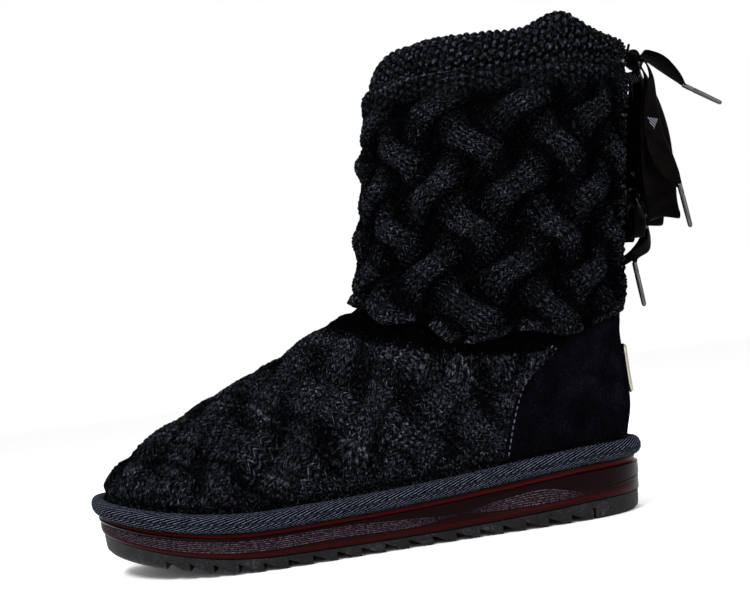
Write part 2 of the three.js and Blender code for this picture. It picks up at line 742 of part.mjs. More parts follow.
const lowerBow = {
  rise: lowerBowRise,
  tall: lowerBarTall,
  reach: lowerBarReach,
  over: bandThickness,
  knotSize: [7, 10, 9],
  loop: [
    { at: [0, 5.7, -2.6], across: [0.4, 0.9, 0], width: 4 },
    { at: [0.6, 9, -8], across: [0.7, 0.7, 0], width: 6 },
    { at: [2, 12, -14], across: [0.9, 0.45, 0], width: 7 },
    { at: [3.4, 12, -19.5], across: [1, 0.3, 0], width: 7 },
    { at: [3.6, 8.6, -21.5], across: [1, 0.1, 0], width: 7 },
    { at: [2, 5.8, -16], across: [0.9, 0.3, 0], width: 6 },
    { at: [0.4, 3.4, -6.2], across: [0.6, 0.8, 0], width: 4 },
  ],
  leftTail: [
    { at: [-3.5, 2.4, -2.8], across: [0.2, 1, 0], width: 4 },
    { at: [-4.2, 2.8, -11], across: [0.2, 1, 0], width: 4.5 },
    { at: [-3.8, 4.2, -21.5], across: [0.5, 0.85, 0], width: 5.5 },
    { at: [0.6, 9.4, -27.5], across: [0.8, 0.6, 0], width: 5 },
    { at: [8.4, 15.8, -31.5], across: [0.9, 0.4, 0], width: 4 },
    { at: [9.8, 17, -36], across: [0.9, 0.4, 0], width: 2.2 },
  ],
  leftTip: [8.5, 17.4, -54],
  rightTail: [
    { at: [-3.5, -2.4, -2.8], across: [0.2, -1, 0], width: 4 },
    { at: [-4.2, -2.8, -11], across: [0.2, -1, 0], width: 4.5 },
    { at: [-3.8, -4.2, -21.5], across: [0.5, -0.85, 0], width: 5.5 },
    { at: [0.6, -9.4, -28], across: [0.8, -0.6, 0], width: 5 },
    { at: [8.4, -15.8, -33], across: [0.9, -0.4, 0], width: 4 },
    { at: [10, -17.4, -38], across: [0.9, -0.4, 0], width: 2.2 },
  ],
  rightTip: [10.8, -18.6, -55],
};

// A flat ribbon through stations chosen by hand: a middle point, the direction and size of its width
function ribbonPiece(stations) {
  const loops = stations.map(({ at, across, width }, i) => {
    const middle = new THREE.Vector3(...at);
    const before = new THREE.Vector3(...stations[Math.max(0, i - 1)].at);
    const after = new THREE.Vector3(...stations[Math.min(stations.length - 1, i + 1)].at);
    const along = after.sub(before).normalize();
    const side = new THREE.Vector3(...across);
    side.addScaledVector(along, -side.dot(along)).normalize();
    const thin = new THREE.Vector3().crossVectors(along, side);
    const corner = (a, b) =>
      middle
        .clone()
        .addScaledVector(side, (a * width) / 2)
        .addScaledVector(thin, (b * ribbonThickness) / 2);
    return [corner(1, 1), corner(-1, 1), corner(-1, -1), corner(1, -1)];
  });
  const { points, faces } = skin(loops, { closed: false, turnedSide: 2 });
  const end = (loops.length - 1) * 4;
  faces.push([0, 1, 2], [0, 2, 3], [end, end + 2, end + 1], [end, end + 3, end + 2]);
  return solidOf(points, faces);
}

// The stiff tip of a ribbon, from where the ribbon ends towards a point
function makeAglet(from, towards) {
  const start = new THREE.Vector3(...from);
  const along = new THREE.Vector3(...towards).sub(start).normalize();
  const geometry = new THREE.CylinderGeometry(agletDiameter / 2, agletDiameter / 2, agletLength, 8);
  geometry.translate(0, agletLength / 2 + 2.2 * clearance, 0);
  geometry.applyQuaternion(new THREE.Quaternion().setFromUnitVectors(new THREE.Vector3(0, 1, 0), along));
  geometry.translate(...start);
  return fromGeometry(geometry);
}

// The middle of a bow's knot, which lies behind its bar
function knotOf({ rise, over, knotSize }) {
  const z = height(rise);
  const out = over + clearance + barThickness + knotGap + knotSize[0] / 2;
  return new THREE.Vector3(backOf(ringAtBack(z)).x - out, 0, z);
}

function makeKnot([deep, wide, tall]) {
  const geometry = new THREE.SphereGeometry(0.5, 8, 6);
  geometry.scale(deep, wide, tall);
  return fromGeometry(geometry);
}

function meshOf(name, solid, look) {
  const { vertProperties, triVerts } = solid.getMesh();
  const geometry = new THREE.BufferGeometry();
  geometry.setAttribute("position", new THREE.BufferAttribute(new Float32Array(vertProperties), 3));
  geometry.setIndex(new THREE.BufferAttribute(new Uint32Array(triVerts), 1));
  geometry.computeVertexNormals();
  const mesh = new THREE.Mesh(geometry, new THREE.MeshStandardMaterial(look));
  mesh.name = name;
  return mesh;
}

const looks = {
  knit: { color: 0x14161b, roughness: 0.95, metalness: 0 },
  suede: { color: 0x17171c, roughness: 0.9, metalness: 0 },
  tape: { color: 0x1d2029, roughness: 0.7, metalness: 0 },
  midsole: { color: 0x0b0a0c, roughness: 0.25, metalness: 0 },
  outsole: { color: 0x17181a, roughness: 0.7, metalness: 0 },
  lining: { color: 0x111114, roughness: 1, metalness: 0 },
  ribbon: { color: 0x0c0b0d, roughness: 0.4, metalness: 0 },
  badge: { color: 0xb3ab98, roughness: 0.3, metalness: 1 },
};

// The group's origin is the middle of the heel block's flat underside
const boot = new THREE.Group();
boot.position.x = -heelRest;
boot.add(
  meshOf("outsole", makeOutsole(), looks.outsole),
  meshOf("midsole", makeMidsole(), looks.midsole),
  meshOf("rand", makeRand(), looks.tape),
  meshOf("insole", makeInsole(), looks.lining),
  meshOf("upper", makeUpper(), looks.knit),
  meshOf("shaft_sleeve", makeSleeve(), looks.knit),
  meshOf("collar", makeCollar(), looks.knit),
  meshOf("heel_counter", makeCounter(clearance * 0.4, counterThickness, 0), looks.suede),
  meshOf("back_band_left", makeBand(1), looks.knit),
  meshOf("back_band_right", makeBand(-1), looks.knit),
  meshOf("back_gusset", makeGusset(), looks.lining),
  meshOf("heel_badge", makeBadge(), looks.badge),
  meshOf("ribbon_bar_upper", makeBar(upperBow), looks.ribbon),
  meshOf("ribbon_bar_lower", makeBar(lowerBow), looks.ribbon),
);
for (const [name, bow] of Object.entries({ upper: upperBow, lower: lowerBow })) {
  const knot = knotOf(bow).toArray();
  const add = (piece, solid) => {
    boot.add(meshOf(`bow_${name}_${piece}`, solid.translate(knot), looks.ribbon));
  };
  add("knot", makeKnot(bow.knotSize));
  for (const [side, sign] of Object.entries({ left: 1, right: -1 })) {
    const mirror = (stations) =>
      stations.map(({ at, across, width }) => ({
        at: [at[0], at[1] * sign, at[2]],
        across: [across[0], across[1] * sign, across[2]],
        width,
      }));
    const tail = sign > 0 ? bow.leftTail : bow.rightTail;
    const tip = sign > 0 ? bow.leftTip : bow.rightTip;
    add(`loop_${side}`, ribbonPiece(mirror(bow.loop)));
    add(`tail_${side}`, ribbonPiece(tail));
    add(`aglet_${side}`, makeAglet(tail[tail.length - 1].at, tip));
  }
}

export default boot;
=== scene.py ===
"""Looks for a knitted winter ankle boot: cable knit, rib knit, suede, twill tape, rubber and satin ribbon.

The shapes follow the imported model. Lengths are millimetres in the boot's own frame, which starts at the
rand's heel end, until a mesh is made: meshes are in metres and the origin is under the heel block.
"""
import math

import bpy
import numpy as np
from mathutils import Matrix, Vector


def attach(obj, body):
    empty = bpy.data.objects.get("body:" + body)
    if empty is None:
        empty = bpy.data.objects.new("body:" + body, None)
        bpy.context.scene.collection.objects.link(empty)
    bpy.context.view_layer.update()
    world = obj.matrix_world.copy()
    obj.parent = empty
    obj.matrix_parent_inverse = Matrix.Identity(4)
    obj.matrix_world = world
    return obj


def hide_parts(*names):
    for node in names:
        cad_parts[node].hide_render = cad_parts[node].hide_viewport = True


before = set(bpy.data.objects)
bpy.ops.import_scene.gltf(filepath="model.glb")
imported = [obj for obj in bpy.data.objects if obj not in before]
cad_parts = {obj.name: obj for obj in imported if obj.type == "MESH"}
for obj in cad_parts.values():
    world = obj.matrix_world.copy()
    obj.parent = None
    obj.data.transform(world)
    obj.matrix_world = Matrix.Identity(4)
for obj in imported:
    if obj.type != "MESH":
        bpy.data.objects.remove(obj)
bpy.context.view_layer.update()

# Overall sizes, as in the part's source
FOOT_LENGTH = 272
BALL_WIDTH = 98
ANKLE_HEIGHT = 120
SHAFT_RISE = 102
COLLAR_RISE = 20
SHAFT_WIDTH = 97
SOLE_HEEL_HEIGHT = 26
SOLE_BALL_HEIGHT = 17.6
TOE_SPRING = 14
SPRING_START = 182
SPRING_CURVE = 1.6
OUTSOLE_THICKNESS = 9
OUTSOLE_INSET = 4.5
TOOTH_PITCH = 11
TOOTH_DEPTH = 4.2
TOOTH_LAND = 1.6
TOOTH_COUNT = 18
HEEL_BLOCK_LENGTH = 33
HEEL_REST = 18
SLIT_WIDTH = 1.1
SLIT_DEPTH = 5.5
RAND_DIAMETER = 8.4
RAND_DEPTH = 6.4
FEATHER_INSET = 8
WALL = 3.2
KNIT_THICKNESS = 3
COUNTER_THICKNESS = 2
COLLAR_THICKNESS = 4
COLLAR_BULGE = 0.8
COLLAR_HUMP = 9
CLEARANCE = 0.4
FEATHER_GAP = 0.7
SLIT_FOOT = 112
SLIT_HALF_LOW = 3.5
SLIT_HALF_HIGH = 9
BAND_WIDTH = 9
BAND_THICKNESS = 7.6
GUSSET_OVERLAP = 9
GUSSET_THICKNESS = 1.6
INSOLE_THICKNESS = 3
RIBBON_THICKNESS = 0.8
BAR_THICKNESS = 1.2
KNOT_GAP = 0.6
AGLET_RADIUS = 1.4
AGLET_LENGTH = 20
BADGE_WIDTH = 15
BADGE_THICKNESS = 1.7
HEM_RING = 0.712
CREASE_RING = 1.0
LINING_TOP_RING = 1.055
COLLAR_TOP_RING = 1.08
RAND_RING = 0.08

OVAL_POWER = 2.15

# The collar's hump, which is narrower and further forward than the part's
HUMP_PLACE = 21
HUMP_REACH = 13.5

# The cable lattice: its pitch and place round the sleeve, and its strands
LATTICE_PITCH = 38.6
LATTICE_AROUND = 91.5
LATTICE_HEIGHT = 177.4
LATTICE_TILT = 0.12
LATTICE_TILT_FROM = 60
STRAND_WIDTH = 16.4
STRAND_SWAY = 0.4
STRAND_SHIFT = 17.3
STRAND_RELIEF = 8.0
VAMP_STRAND_RELIEF = 3.6

# Stitches, ribs and folds
WALE = 4.1
STITCH = 3.6
STITCH_RELIEF = 1.5
VAMP_STITCH_RELIEF = 1.1
RIB_PITCH = 3.7
RIB_WALE = 3.1
FINE_RIB_PITCH = 2.6
RUNG_PITCH = 4.4
COLLAR_RELIEF = 1.4
FOLD_PITCH = 4.6
FOLD_DEPTH = 0.55

# The sleeve's inside, hem and plain cuff, and what it covers
SLEEVE_GAP = 0.7
SLEEVE_DEPTH = 4.0
SLEEVE_GIRTH = math.pi * 0.62 * SHAFT_WIDTH
SLEEVE_TOP_RING = CREASE_RING + 0.008
CUFF_DEPTH = 5.0
CUFF_RELIEF = 1.1
HEM_OVERHANG = 3.4
SCALLOP_RINGS = 0.014
SCALLOP_LENGTH = 54
SCALLOP_PLACE = 73
VAMP_FOOT_RING = 0.045
COUNTER_OVERLAP = 7

# Seam, badge, tape and ribbon details
SEAM_PITCH = 3.1
SEAM_STITCH = 2.1
THREAD_RADIUS = 0.42
BADGE_HEIGHT = 24
BADGE_LOW_RING = 0.28
BADGE_HIGH_RING = 0.565
TWILL_SLANT = 0.34
TWILL_THREAD = 1.15
TWILL_RIDGE = 1.9
MARK_PITCH = 53
HATCH_PITCH = 1.6

# Moves a layer out level with the floor, as surface()'s last value
LEVEL = 1.0


class Table:
    """Rows of named columns, read along their first column by a smooth curve."""

    def __init__(self, names, rows):
        data = np.array(rows, float)
        self.at = data[:, 0]
        self.columns = {name: data[:, k + 1] for k, name in enumerate(names)}

    def read(self, name, at):
        at = np.asarray(at, float)
        values = self.columns[name]
        last = len(self.at) - 1
        before = np.maximum(np.arange(last + 1) - 1, 0)
        after = np.minimum(np.arange(last + 1) + 1, last)
        slope = (values[after] - values[before]) / (self.at[after] - self.at[before])
        i = np.clip(np.searchsorted(self.at, at, side="left") - 1, 0, last - 1)
        step = self.at[i + 1] - self.at[i]
        s = np.clip((at - self.at[i]) / step, 0, 1.1)
        s2 = s * s
        s3 = s2 * s
        return (
            (2 * s3 - 3 * s2 + 1) * values[i]
            + (s3 - 2 * s2 + s) * step * slope[i]
            + (3 * s2 - 2 * s3) * values[i + 1]
            + (s3 - s2) * step * slope[i + 1]
        )


PLAN = Table(("half", "shift", "blunt"), [
    (0.0, 0.355, 0.0, 7),
    (0.15, 0.365, 0.0, 6.7),
    (0.3, 0.37, 0.012, 6.4),
    (0.43, 0.385, 0.026, 6.1),
    (0.56, 0.425, 0.028, 5.9),
    (0.68, 0.475, 0.016, 5.6),
    (0.77, 0.5, -0.002, 5.5),
    (0.88, 0.49, -0.034, 5.2),
    (1.0, 0.44, -0.065, 5),
])
SIDE = Table(("drop", "outsole", "low", "high"), [
    (0.0, 1.0, 1.0, 0.4, 0.43),
    (0.12, 0.97, 0.95, 0.24, 0.3),
    (0.2, 0.82, 0.82, 0.21, 0.62),
    (0.29, 0.58, 0.7, 0.29, 0.57),
    (0.35, 0.42, 0.63, 0.4, 0.45),
    (0.44, 0.24, 0.6, 0.27, 0.56),
    (0.56, 0.11, 0.61, 0.32, 0.73),
    (0.79, 0.0, 0.74, 0.2, 0.69),
    (1.0, 0.0, 1.05, 0.2, 0.66),
])
RINGS = Table(("back_x", "back_z", "front_x", "front_z", "sag", "half", "oval"), [
    (0.0, 0.0, 0.22, 1.0, 0.253, 0.0, 0.39, 0),
    (0.08, -0.001, 0.29, 1.0, 0.333, 0.0, 0.39, 0),
    (0.23, -0.016, 0.425, 0.957, 0.45, 0.0, 0.39, 0),
    (0.39, -0.016, 0.542, 0.848, 0.572, -0.02, 0.39, 0),
    (0.53, -0.016, 0.642, 0.713, 0.697, -0.06, 0.39, 0.15),
    (0.64, -0.016, 0.725, 0.586, 0.828, -0.1, 0.39, 0.45),
    (0.71, -0.022, 0.825, 0.479, 0.957, -0.12, 0.4, 0.75),
    (0.8, -0.024, 1.02, 0.441, 1.22, -0.09, 0.437, 1),
    (0.92, -0.06, 1.588, 0.41, 1.685, -0.055, 0.479, 1),
    (1.0, -0.086, 1.938, 0.395, 1.95, -0.065, 0.5, 1),
    (1.08, -0.1, 2.35, 0.355, 2.8, -0.033, 0.475, 1),
])
COUNTER = Table(("edge",), [(0.0, 0.309), (0.23, 0.279), (0.45, 0.243), (0.6, 0.2), (0.72, 0.15)])


def lerp(a, b, share):
    return a + (b - a) * share


def smooth(start, end, value):
    share = np.clip((value - start) / (end - start), 0, 1)
    return share * share * (3 - 2 * share)


def pair(a, b):
    """Two coordinates as one row of two, such as a place on a material."""
    return np.stack(np.broadcast_arrays(a, b), -1)


def grid_places(rows, columns, first=-1):
    """Even places up a grid, from 0 to 1, and across it, from the first value to 1."""
    return np.linspace(0, 1, rows)[:, None], np.linspace(first, 1, columns)[None]


def there_and_back(outer, inner):
    """Two layers of a grid side by side, the second one turned back, as a loop across."""
    return np.concatenate([outer, inner[:, ::-1]], axis=1)


def run_length(points):
    """How far a row of points has come at each of them."""
    steps = np.linalg.norm(np.diff(points, axis=0), axis=1)
    return np.concatenate([[0], np.cumsum(steps)])


def unit(vectors):
    return vectors / np.maximum(np.linalg.norm(vectors, axis=-1, keepdims=True), 1e-9)


def stack(x, y, z):
    return np.stack(np.broadcast_arrays(x, y, z), axis=-1).astype(float)


def spring(x):
    share = np.maximum(0, np.asarray(x, float) - SPRING_START) / (FOOT_LENGTH - SPRING_START)
    return TOE_SPRING * share ** SPRING_CURVE


def along_foot(x):
    return np.clip(np.asarray(x, float) / FOOT_LENGTH, 0, 1)


def sole_top(x):
    drop = SIDE.read("drop", along_foot(x))
    return SOLE_BALL_HEIGHT + (SOLE_HEEL_HEIGHT - SOLE_BALL_HEIGHT) * drop + spring(x)


def outsole_top(x):
    return OUTSOLE_THICKNESS * SIDE.read("outsole", along_foot(x)) + spring(x)


def plan_round(share):
    return np.sqrt(np.maximum(0, 1 - np.abs(1 - 2 * share) ** PLAN.read("blunt", share)))


def plan_point(angle, inset):
    """A point of the sole's plan, moved in from the outline by an inset."""
    share = (1 - np.cos(angle)) / 2
    half = (PLAN.read("half", share) * BALL_WIDTH - inset) * plan_round(share)
    x = inset + share * (FOOT_LENGTH - 2 * inset)
    return x, PLAN.read("shift", share) * BALL_WIDTH + np.sign(np.sin(angle)) * half


def height(rise):
    """Height of a rise: 0 to 1 below the ankle, 1 to 2 along the shaft, above 2 in the collar."""
    return (
        ANKLE_HEIGHT * np.minimum(1, rise)
        + SHAFT_RISE * np.clip(rise - 1, 0, 1)
        + COLLAR_RISE * np.maximum(0, rise - 2)
    )


LAST_LENGTH = FOOT_LENGTH - 2 * FEATHER_INSET


def ring_ends(ring):
    back_x = FEATHER_INSET + LAST_LENGTH * RINGS.read("back_x", ring)
    front_x = FEATHER_INSET + LAST_LENGTH * RINGS.read("front_x", ring)
    return back_x, height(RINGS.read("back_z", ring)), front_x, height(RINGS.read("front_z", ring))


_, _, INSTEP_X, INSTEP_Z = ring_ends(np.linspace(RAND_RING, COLLAR_TOP_RING - 0.01, 100))


def instep_at(x):
    """Height of the instep above a place along the foot, straight on beyond the last ring."""
    x = np.asarray(x, float)
    inside = np.interp(x, INSTEP_X[::-1], INSTEP_Z[::-1])
    end_slope = (INSTEP_Z[-1] - INSTEP_Z[-2]) / (INSTEP_X[-1] - INSTEP_X[-2])
    return np.where(x < INSTEP_X[-1], INSTEP_Z[-1] + (x - INSTEP_X[-1]) * end_slope, inside)


FEATHER_ENDS = ring_ends(0.0)


def last_point(ring, angle):
    """A point of the last's surface, which is the outside of the lining."""
    ring, angle = np.broadcast_arrays(np.asarray(ring, float), np.asarray(angle, float))
    back_x, back_z, front_x, front_z = ring_ends(ring)
    share = (1 - np.cos(angle)) / 2
    x = lerp(back_x, front_x, share)
    feather = sole_top(x) + FEATHER_GAP - lerp(FEATHER_ENDS[1], FEATHER_ENDS[3], share)
    sag = RINGS.read("sag", ring) * ANKLE_HEIGHT * 4 * share * (1 - share)
    hump = COLLAR_HUMP * np.exp(-((x - HUMP_PLACE) / HUMP_REACH) ** 2)
    hump = hump * smooth(CREASE_RING, COLLAR_TOP_RING, ring)
    z = lerp(back_z, front_z, share) + feather * (1 - smooth(RAND_RING, 0.45, ring)) + sag + hump
    toe_end = np.where(ring < RAND_RING, front_x, np.maximum(front_x, FOOT_LENGTH - FEATHER_INSET))
    along = np.clip((x - back_x) / (toe_end - back_x), 0, 1)
    plan = PLAN.read("half", along) * BALL_WIDTH - FEATHER_INSET
    low = sole_top(x) + CLEARANCE + RAND_DIAMETER
    up = np.clip((z - low) / np.maximum(1, instep_at(x) - low), 0, 1)
    bulge = 1 + 0.09 * np.sin(math.pi * np.minimum(1, up * 1.7))
    dome = np.sqrt(np.maximum(0, 1 - up ** 2.3))
    foot = plan * plan_round(along) * dome * bulge
    oval_round = np.sqrt(np.maximum(0, 1 - np.abs(np.cos(angle)) ** OVAL_POWER))
    oval = RINGS.read("half", ring) * SHAFT_WIDTH * oval_round
    shaft = np.clip(RINGS.read("oval", ring), 0, 1)
    shift = PLAN.read("shift", along) * BALL_WIDTH * (1 - shaft)
    return stack(x, shift + np.sign(np.sin(angle)) * lerp(foot, oval, shaft), z)


def surface(ring, angle, depth, planar=None):
    """The last's surface moved out by a depth: along its normal on the foot, and level round the shaft."""
    ring, angle, depth = np.broadcast_arrays(
        np.asarray(ring, float), np.asarray(angle, float), np.asarray(depth, float)
    )
    if planar is None:
        planar = smooth(HEM_RING - 0.01, HEM_RING + 0.04, ring)
    reach = 0.02
    around = last_point(ring, angle + reach) - last_point(ring, angle - reach)
    flat_end = np.abs(np.sin(angle)) < 1e-6
    around[flat_end] = stack(0, np.cos(angle), 0)[flat_end]
    up = last_point(ring + reach, angle) - last_point(np.maximum(0, ring - reach), angle)
    along = unit(last_point(ring, np.full_like(angle, math.pi)) - last_point(ring, np.zeros_like(angle)))
    free = unit(np.cross(up, around))
    level = unit(np.cross(stack(-along[..., 2], 0, along[..., 0]), around))
    free[..., 2] *= smooth(0, RAND_RING, ring)
    mix = np.asarray(planar, float)[..., None] if np.ndim(planar) else planar
    normal = unit(lerp(free, level, mix))
    return last_point(ring, angle) + normal * depth[..., None]


def to_frame(points):
    """Millimetres in the boot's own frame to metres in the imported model's frame."""
    moved = np.asarray(points, float) - (HEEL_REST, 0, 0)
    return moved / 1000


def slit_half(z):
    return lerp(SLIT_HALF_LOW, SLIT_HALF_HIGH, (z - SLIT_FOOT) / (height(4) - SLIT_FOOT))


def angle_across(ring, y, depth):
    """The angle round the shaft at which a layer of some depth lies y to the side of the middle."""
    half = RINGS.read("half", ring) * SHAFT_WIDTH + depth
    ratio = np.minimum(1, np.abs(y) / half)
    return np.sign(y) * np.arccos((1 - ratio ** 2) ** (1 / OVAL_POWER))


def open_turn(ring, edge_y, depth, sweep):
    """Angles round the shaft, from one edge of the slit at 0 to the other at 1."""
    start = angle_across(ring, edge_y, depth)
    return lerp(start, 2 * math.pi - start, sweep)


def ring_at_back(z):
    rings = np.linspace(0, COLLAR_TOP_RING, 600)
    return np.interp(z, ring_ends(rings)[1], rings)


def angle_beside(ring, y):
    """The angle at which a ring of the foot lies y to the side of the middle."""
    angles = np.linspace(0, 1, 400)
    ring, y = np.broadcast_arrays(np.asarray(ring, float), np.asarray(y, float))
    found = np.zeros(ring.shape)
    for place in np.ndindex(ring.shape):
        across = np.abs(last_point(ring[place], angles)[:, 1])
        found[place] = np.sign(y[place]) * np.interp(abs(y[place]), across, angles)
    return found


# Meshes

def mesh_piece(name, points, faces, material, uv=None, smooth_shading=True, crest_light=None):
    """A mesh object from millimetre points; uv gives a place on the material for each point.

    The crest values say for each point how far it is up out of the hollows, 0 to 1; the knit and midsole
    materials paint them as light on the crests and shade in the hollows.
    """
    mesh = bpy.data.meshes.new(name)
    mesh.from_pydata(to_frame(points).tolist(), [], faces)
    mesh.update()
    if uv is not None:
        layer = mesh.uv_layers.new(name="UVMap")
        corners = np.empty(len(mesh.loops), dtype=np.int32)
        mesh.loops.foreach_get("vertex_index", corners)
        layer.data.foreach_set("uv", np.asarray(uv, float)[corners].ravel())
    if crest_light is not None:
        stored = mesh.attributes.new("crest_light", "FLOAT", "POINT")
        stored.data.foreach_set("value", np.asarray(crest_light, float).ravel())
    if smooth_shading:
        mesh.polygons.foreach_set("use_smooth", np.ones(len(mesh.polygons), dtype=bool))
    mesh.materials.append(material)
    piece = bpy.data.objects.new(name, mesh)
    bpy.context.scene.collection.objects.link(piece)
    return piece


def grid_faces(rows, columns, wrap_rows=False, wrap_columns=False, flip=False):
    """Four-cornered faces over a grid of points, closed round either way where it wraps."""
    i = np.arange(rows if wrap_rows else rows - 1)
    j = np.arange(columns if wrap_columns else columns - 1)
    i, j = np.meshgrid(i, j, indexing="ij")
    down = (i + 1) % rows
    right = (j + 1) % columns
    quads = np.stack([i * columns + j, i * columns + right, down * columns + right, down * columns + j], -1)
    quads = quads.reshape(-1, 4)
    return (quads[:, ::-1] if flip else quads).tolist()


def grid_piece(name, points, material, uv=None, crest_light=None, **faces):
    """A mesh object from rows and columns of points."""
    rows, columns = points.shape[:2]
    flat_uv = None if uv is None else np.asarray(uv, float).reshape(-1, 2)
    quads = grid_faces(rows, columns, **faces)
    return mesh_piece(name, points.reshape(-1, 3), quads, material, flat_uv, crest_light=crest_light)


def finish_piece(piece, nodes):
    """Rides a piece on the boot and hides the nodes that it stands for."""
    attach(piece, "root")
    if nodes:
        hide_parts(*nodes)
    return piece


# Materials

class Shader:
    """A material's node tree, built up by short calls."""

    def __init__(self, name, base, roughness, **constants):
        self.material = bpy.data.materials.new(name)
        self.material.use_nodes = True
        self.tree = self.material.node_tree
        self.surface = self.tree.nodes["Principled BSDF"]
        self.surface.inputs["Base Color"].default_value = (*base, 1)
        self.surface.inputs["Roughness"].default_value = roughness
        for socket, value in constants.items():
            self.surface.inputs[socket.replace("_", " ")].default_value = value
        self.bumped = None

    def node(self, kind, inputs=None, **settings):
        made = self.tree.nodes.new(kind)
        for key, value in settings.items():
            setattr(made, key, value)
        for key, value in (inputs or {}).items():
            self.feed(made.inputs[key], value)
        return made

    def feed(self, socket, value):
        if isinstance(value, bpy.types.NodeSocket):
            self.tree.links.new(value, socket)
        else:
            socket.default_value = value

    def math(self, operation, *values):
        made = self.node("ShaderNodeMath", operation=operation)
        for socket, value in zip(made.inputs, values):
            self.feed(socket, value)
        return made.outputs[0]

    def blend(self, first, share, second, rest):
        """Two values added up, each with its own share."""
        return self.math("ADD", self.math("MULTIPLY", first, share), self.math("MULTIPLY", second, rest))

    def uv(self):
        place = self.node("ShaderNodeUVMap", uv_map="UVMap")
        parts = self.node("ShaderNodeSeparateXYZ", {0: place.outputs[0]})
        return parts.outputs[0], parts.outputs[1]

    # Painted light and shade stored on the mesh: light on crests, shade in hollows.
    def crest_light(self):
        return self.node("ShaderNodeAttribute", attribute_name="crest_light").outputs["Fac"]

    def place(self, scale=(1, 1, 1)):
        """The object's own coordinates in metres, stretched."""
        here = self.node("ShaderNodeTexCoord").outputs["Object"]
        return self.node("ShaderNodeMapping", {"Vector": here, "Scale": scale}).outputs[0]

    def noise(self, scale, detail=3, vector=None, rough=0.6):
        made = self.node("ShaderNodeTexNoise", {"Scale": scale, "Detail": detail, "Roughness": rough})
        self.feed(made.inputs["Vector"], vector if vector is not None else self.place())
        return made.outputs[0]

    def ramp(self, value, *stops):
        made = self.node("ShaderNodeValToRGB", {0: value})
        while len(made.color_ramp.elements) < len(stops):
            made.color_ramp.elements.new(0.5)
        for element, (at, colour) in zip(made.color_ramp.elements, stops):
            element.position = at
            element.color = (*colour, 1) if len(colour) == 3 else (colour[0],) * 3 + (1,)
        return made.outputs[0]

    def mix(self, share, first, second):
        """The first colour where share is 0 and the second where it is 1."""
        made = self.node("ShaderNodeMix", data_type="RGBA")
        for socket, value in zip((made.inputs[0], made.inputs[6], made.inputs[7]), (share, first, second)):
            self.feed(socket, (*value, 1) if isinstance(value, tuple) else value)
        return made.outputs[2]

    def colour(self, value):
        self.feed(self.surface.inputs["Base Color"], value)

    def roughness(self, value):
        self.feed(self.surface.inputs["Roughness"], value)

    def bump(self, value, strength, distance):
        made = self.node("ShaderNodeBump", {"Height": value, "Strength": strength, "Distance": distance})
        if self.bumped is not None:
            self.feed(made.inputs["Normal"], self.bumped)
        self.bumped = made.outputs[0]
        self.feed(self.surface.inputs["Normal"], self.bumped)


# Yarn colours by brightness; the lightest bluish stops are painted highlights on the fibres.
YARN_TONES_AND_HIGHLIGHTS = (
    (0.5, (0.0022, 0.0024, 0.003)),
    (0.57, (0.012, 0.0135, 0.0165)),
    (0.64, (0.044, 0.051, 0.063)),
    (0.72, (0.12, 0.135, 0.165)),
)


def knit_material(name, wale, lean, lighter):
    """Wool yarn: black plies with bluish fibres along each stitch's legs; the bright bluish fibre flecks are
    painted highlights, and the crest values paint light on the crests and shade in the hollows.
    """
    shader = Shader(name, (0.004, 0.0044, 0.0055), 1.0, Specular_IOR_Level=0.0)
    across, along = shader.uv()
    cell = shader.math("FRACT", shader.math("DIVIDE", across, wale))
    side = shader.math("MULTIPLY", shader.math("ABSOLUTE", shader.math("SUBTRACT", cell, 0.5)), wale)
    down_yarn = shader.math("ADD", shader.math("MULTIPLY", along, 0.86), shader.math("MULTIPLY", side, lean))
    over_yarn = shader.math("SUBTRACT", shader.math("MULTIPLY", side, 0.86),
                            shader.math("MULTIPLY", along, lean))
    here = shader.node("ShaderNodeCombineXYZ", {0: shader.math("DIVIDE", down_yarn, 4.2),
                                                1: shader.math("DIVIDE", over_yarn, 0.8)})
    fibre = shader.noise(1.5, 2, here.outputs[0], 0.6)
    fuzz = shader.noise(800, 2)
    # The bright fibre flecks from this noise are painted highlights.
    lit = shader.blend(fibre, 0.6, fuzz, 0.4)
    # Painted light and shade from the crest values: lighter on crests, darker in hollows.
    high = shader.math("ADD", lit, shader.math("MULTIPLY_ADD", shader.crest_light(), 0.16, -0.14))
    high = shader.math("ADD", high, shader.math("MULTIPLY", shader.noise(45, 3), 0.05))
    tones = [(at, tuple(lighter * part for part in tone)) for at, tone in YARN_TONES_AND_HIGHLIGHTS]
    shader.colour(shader.ramp(high, (0.4, (0.0004, 0.0004, 0.0006)), *tones))
    shader.bump(fibre, 0.9, 0.0008)
    shader.bump(fuzz, 0.5, 0.0006)
    return shader.material


def suede_material():
    """Black suede with a fine nap, brushed lighter in soft patches."""
    shader = Shader("suede", (0.003, 0.0028, 0.004), 1.0, Specular_IOR_Level=0.0)
    nap = shader.noise(1700, 3)
    cloud = shader.noise(60, 4)
    shader.colour(shader.ramp(
        shader.blend(nap, 0.6, cloud, 0.4),
        (0.38, (0.0005, 0.0005, 0.0008)), (0.52, (0.0014, 0.0013, 0.0021)), (0.68, (0.006, 0.0056, 0.0085))
    ))
    shader.bump(nap, 0.45, 0.0003)
    shader.bump(cloud, 0.15, 0.002)
    return shader.material


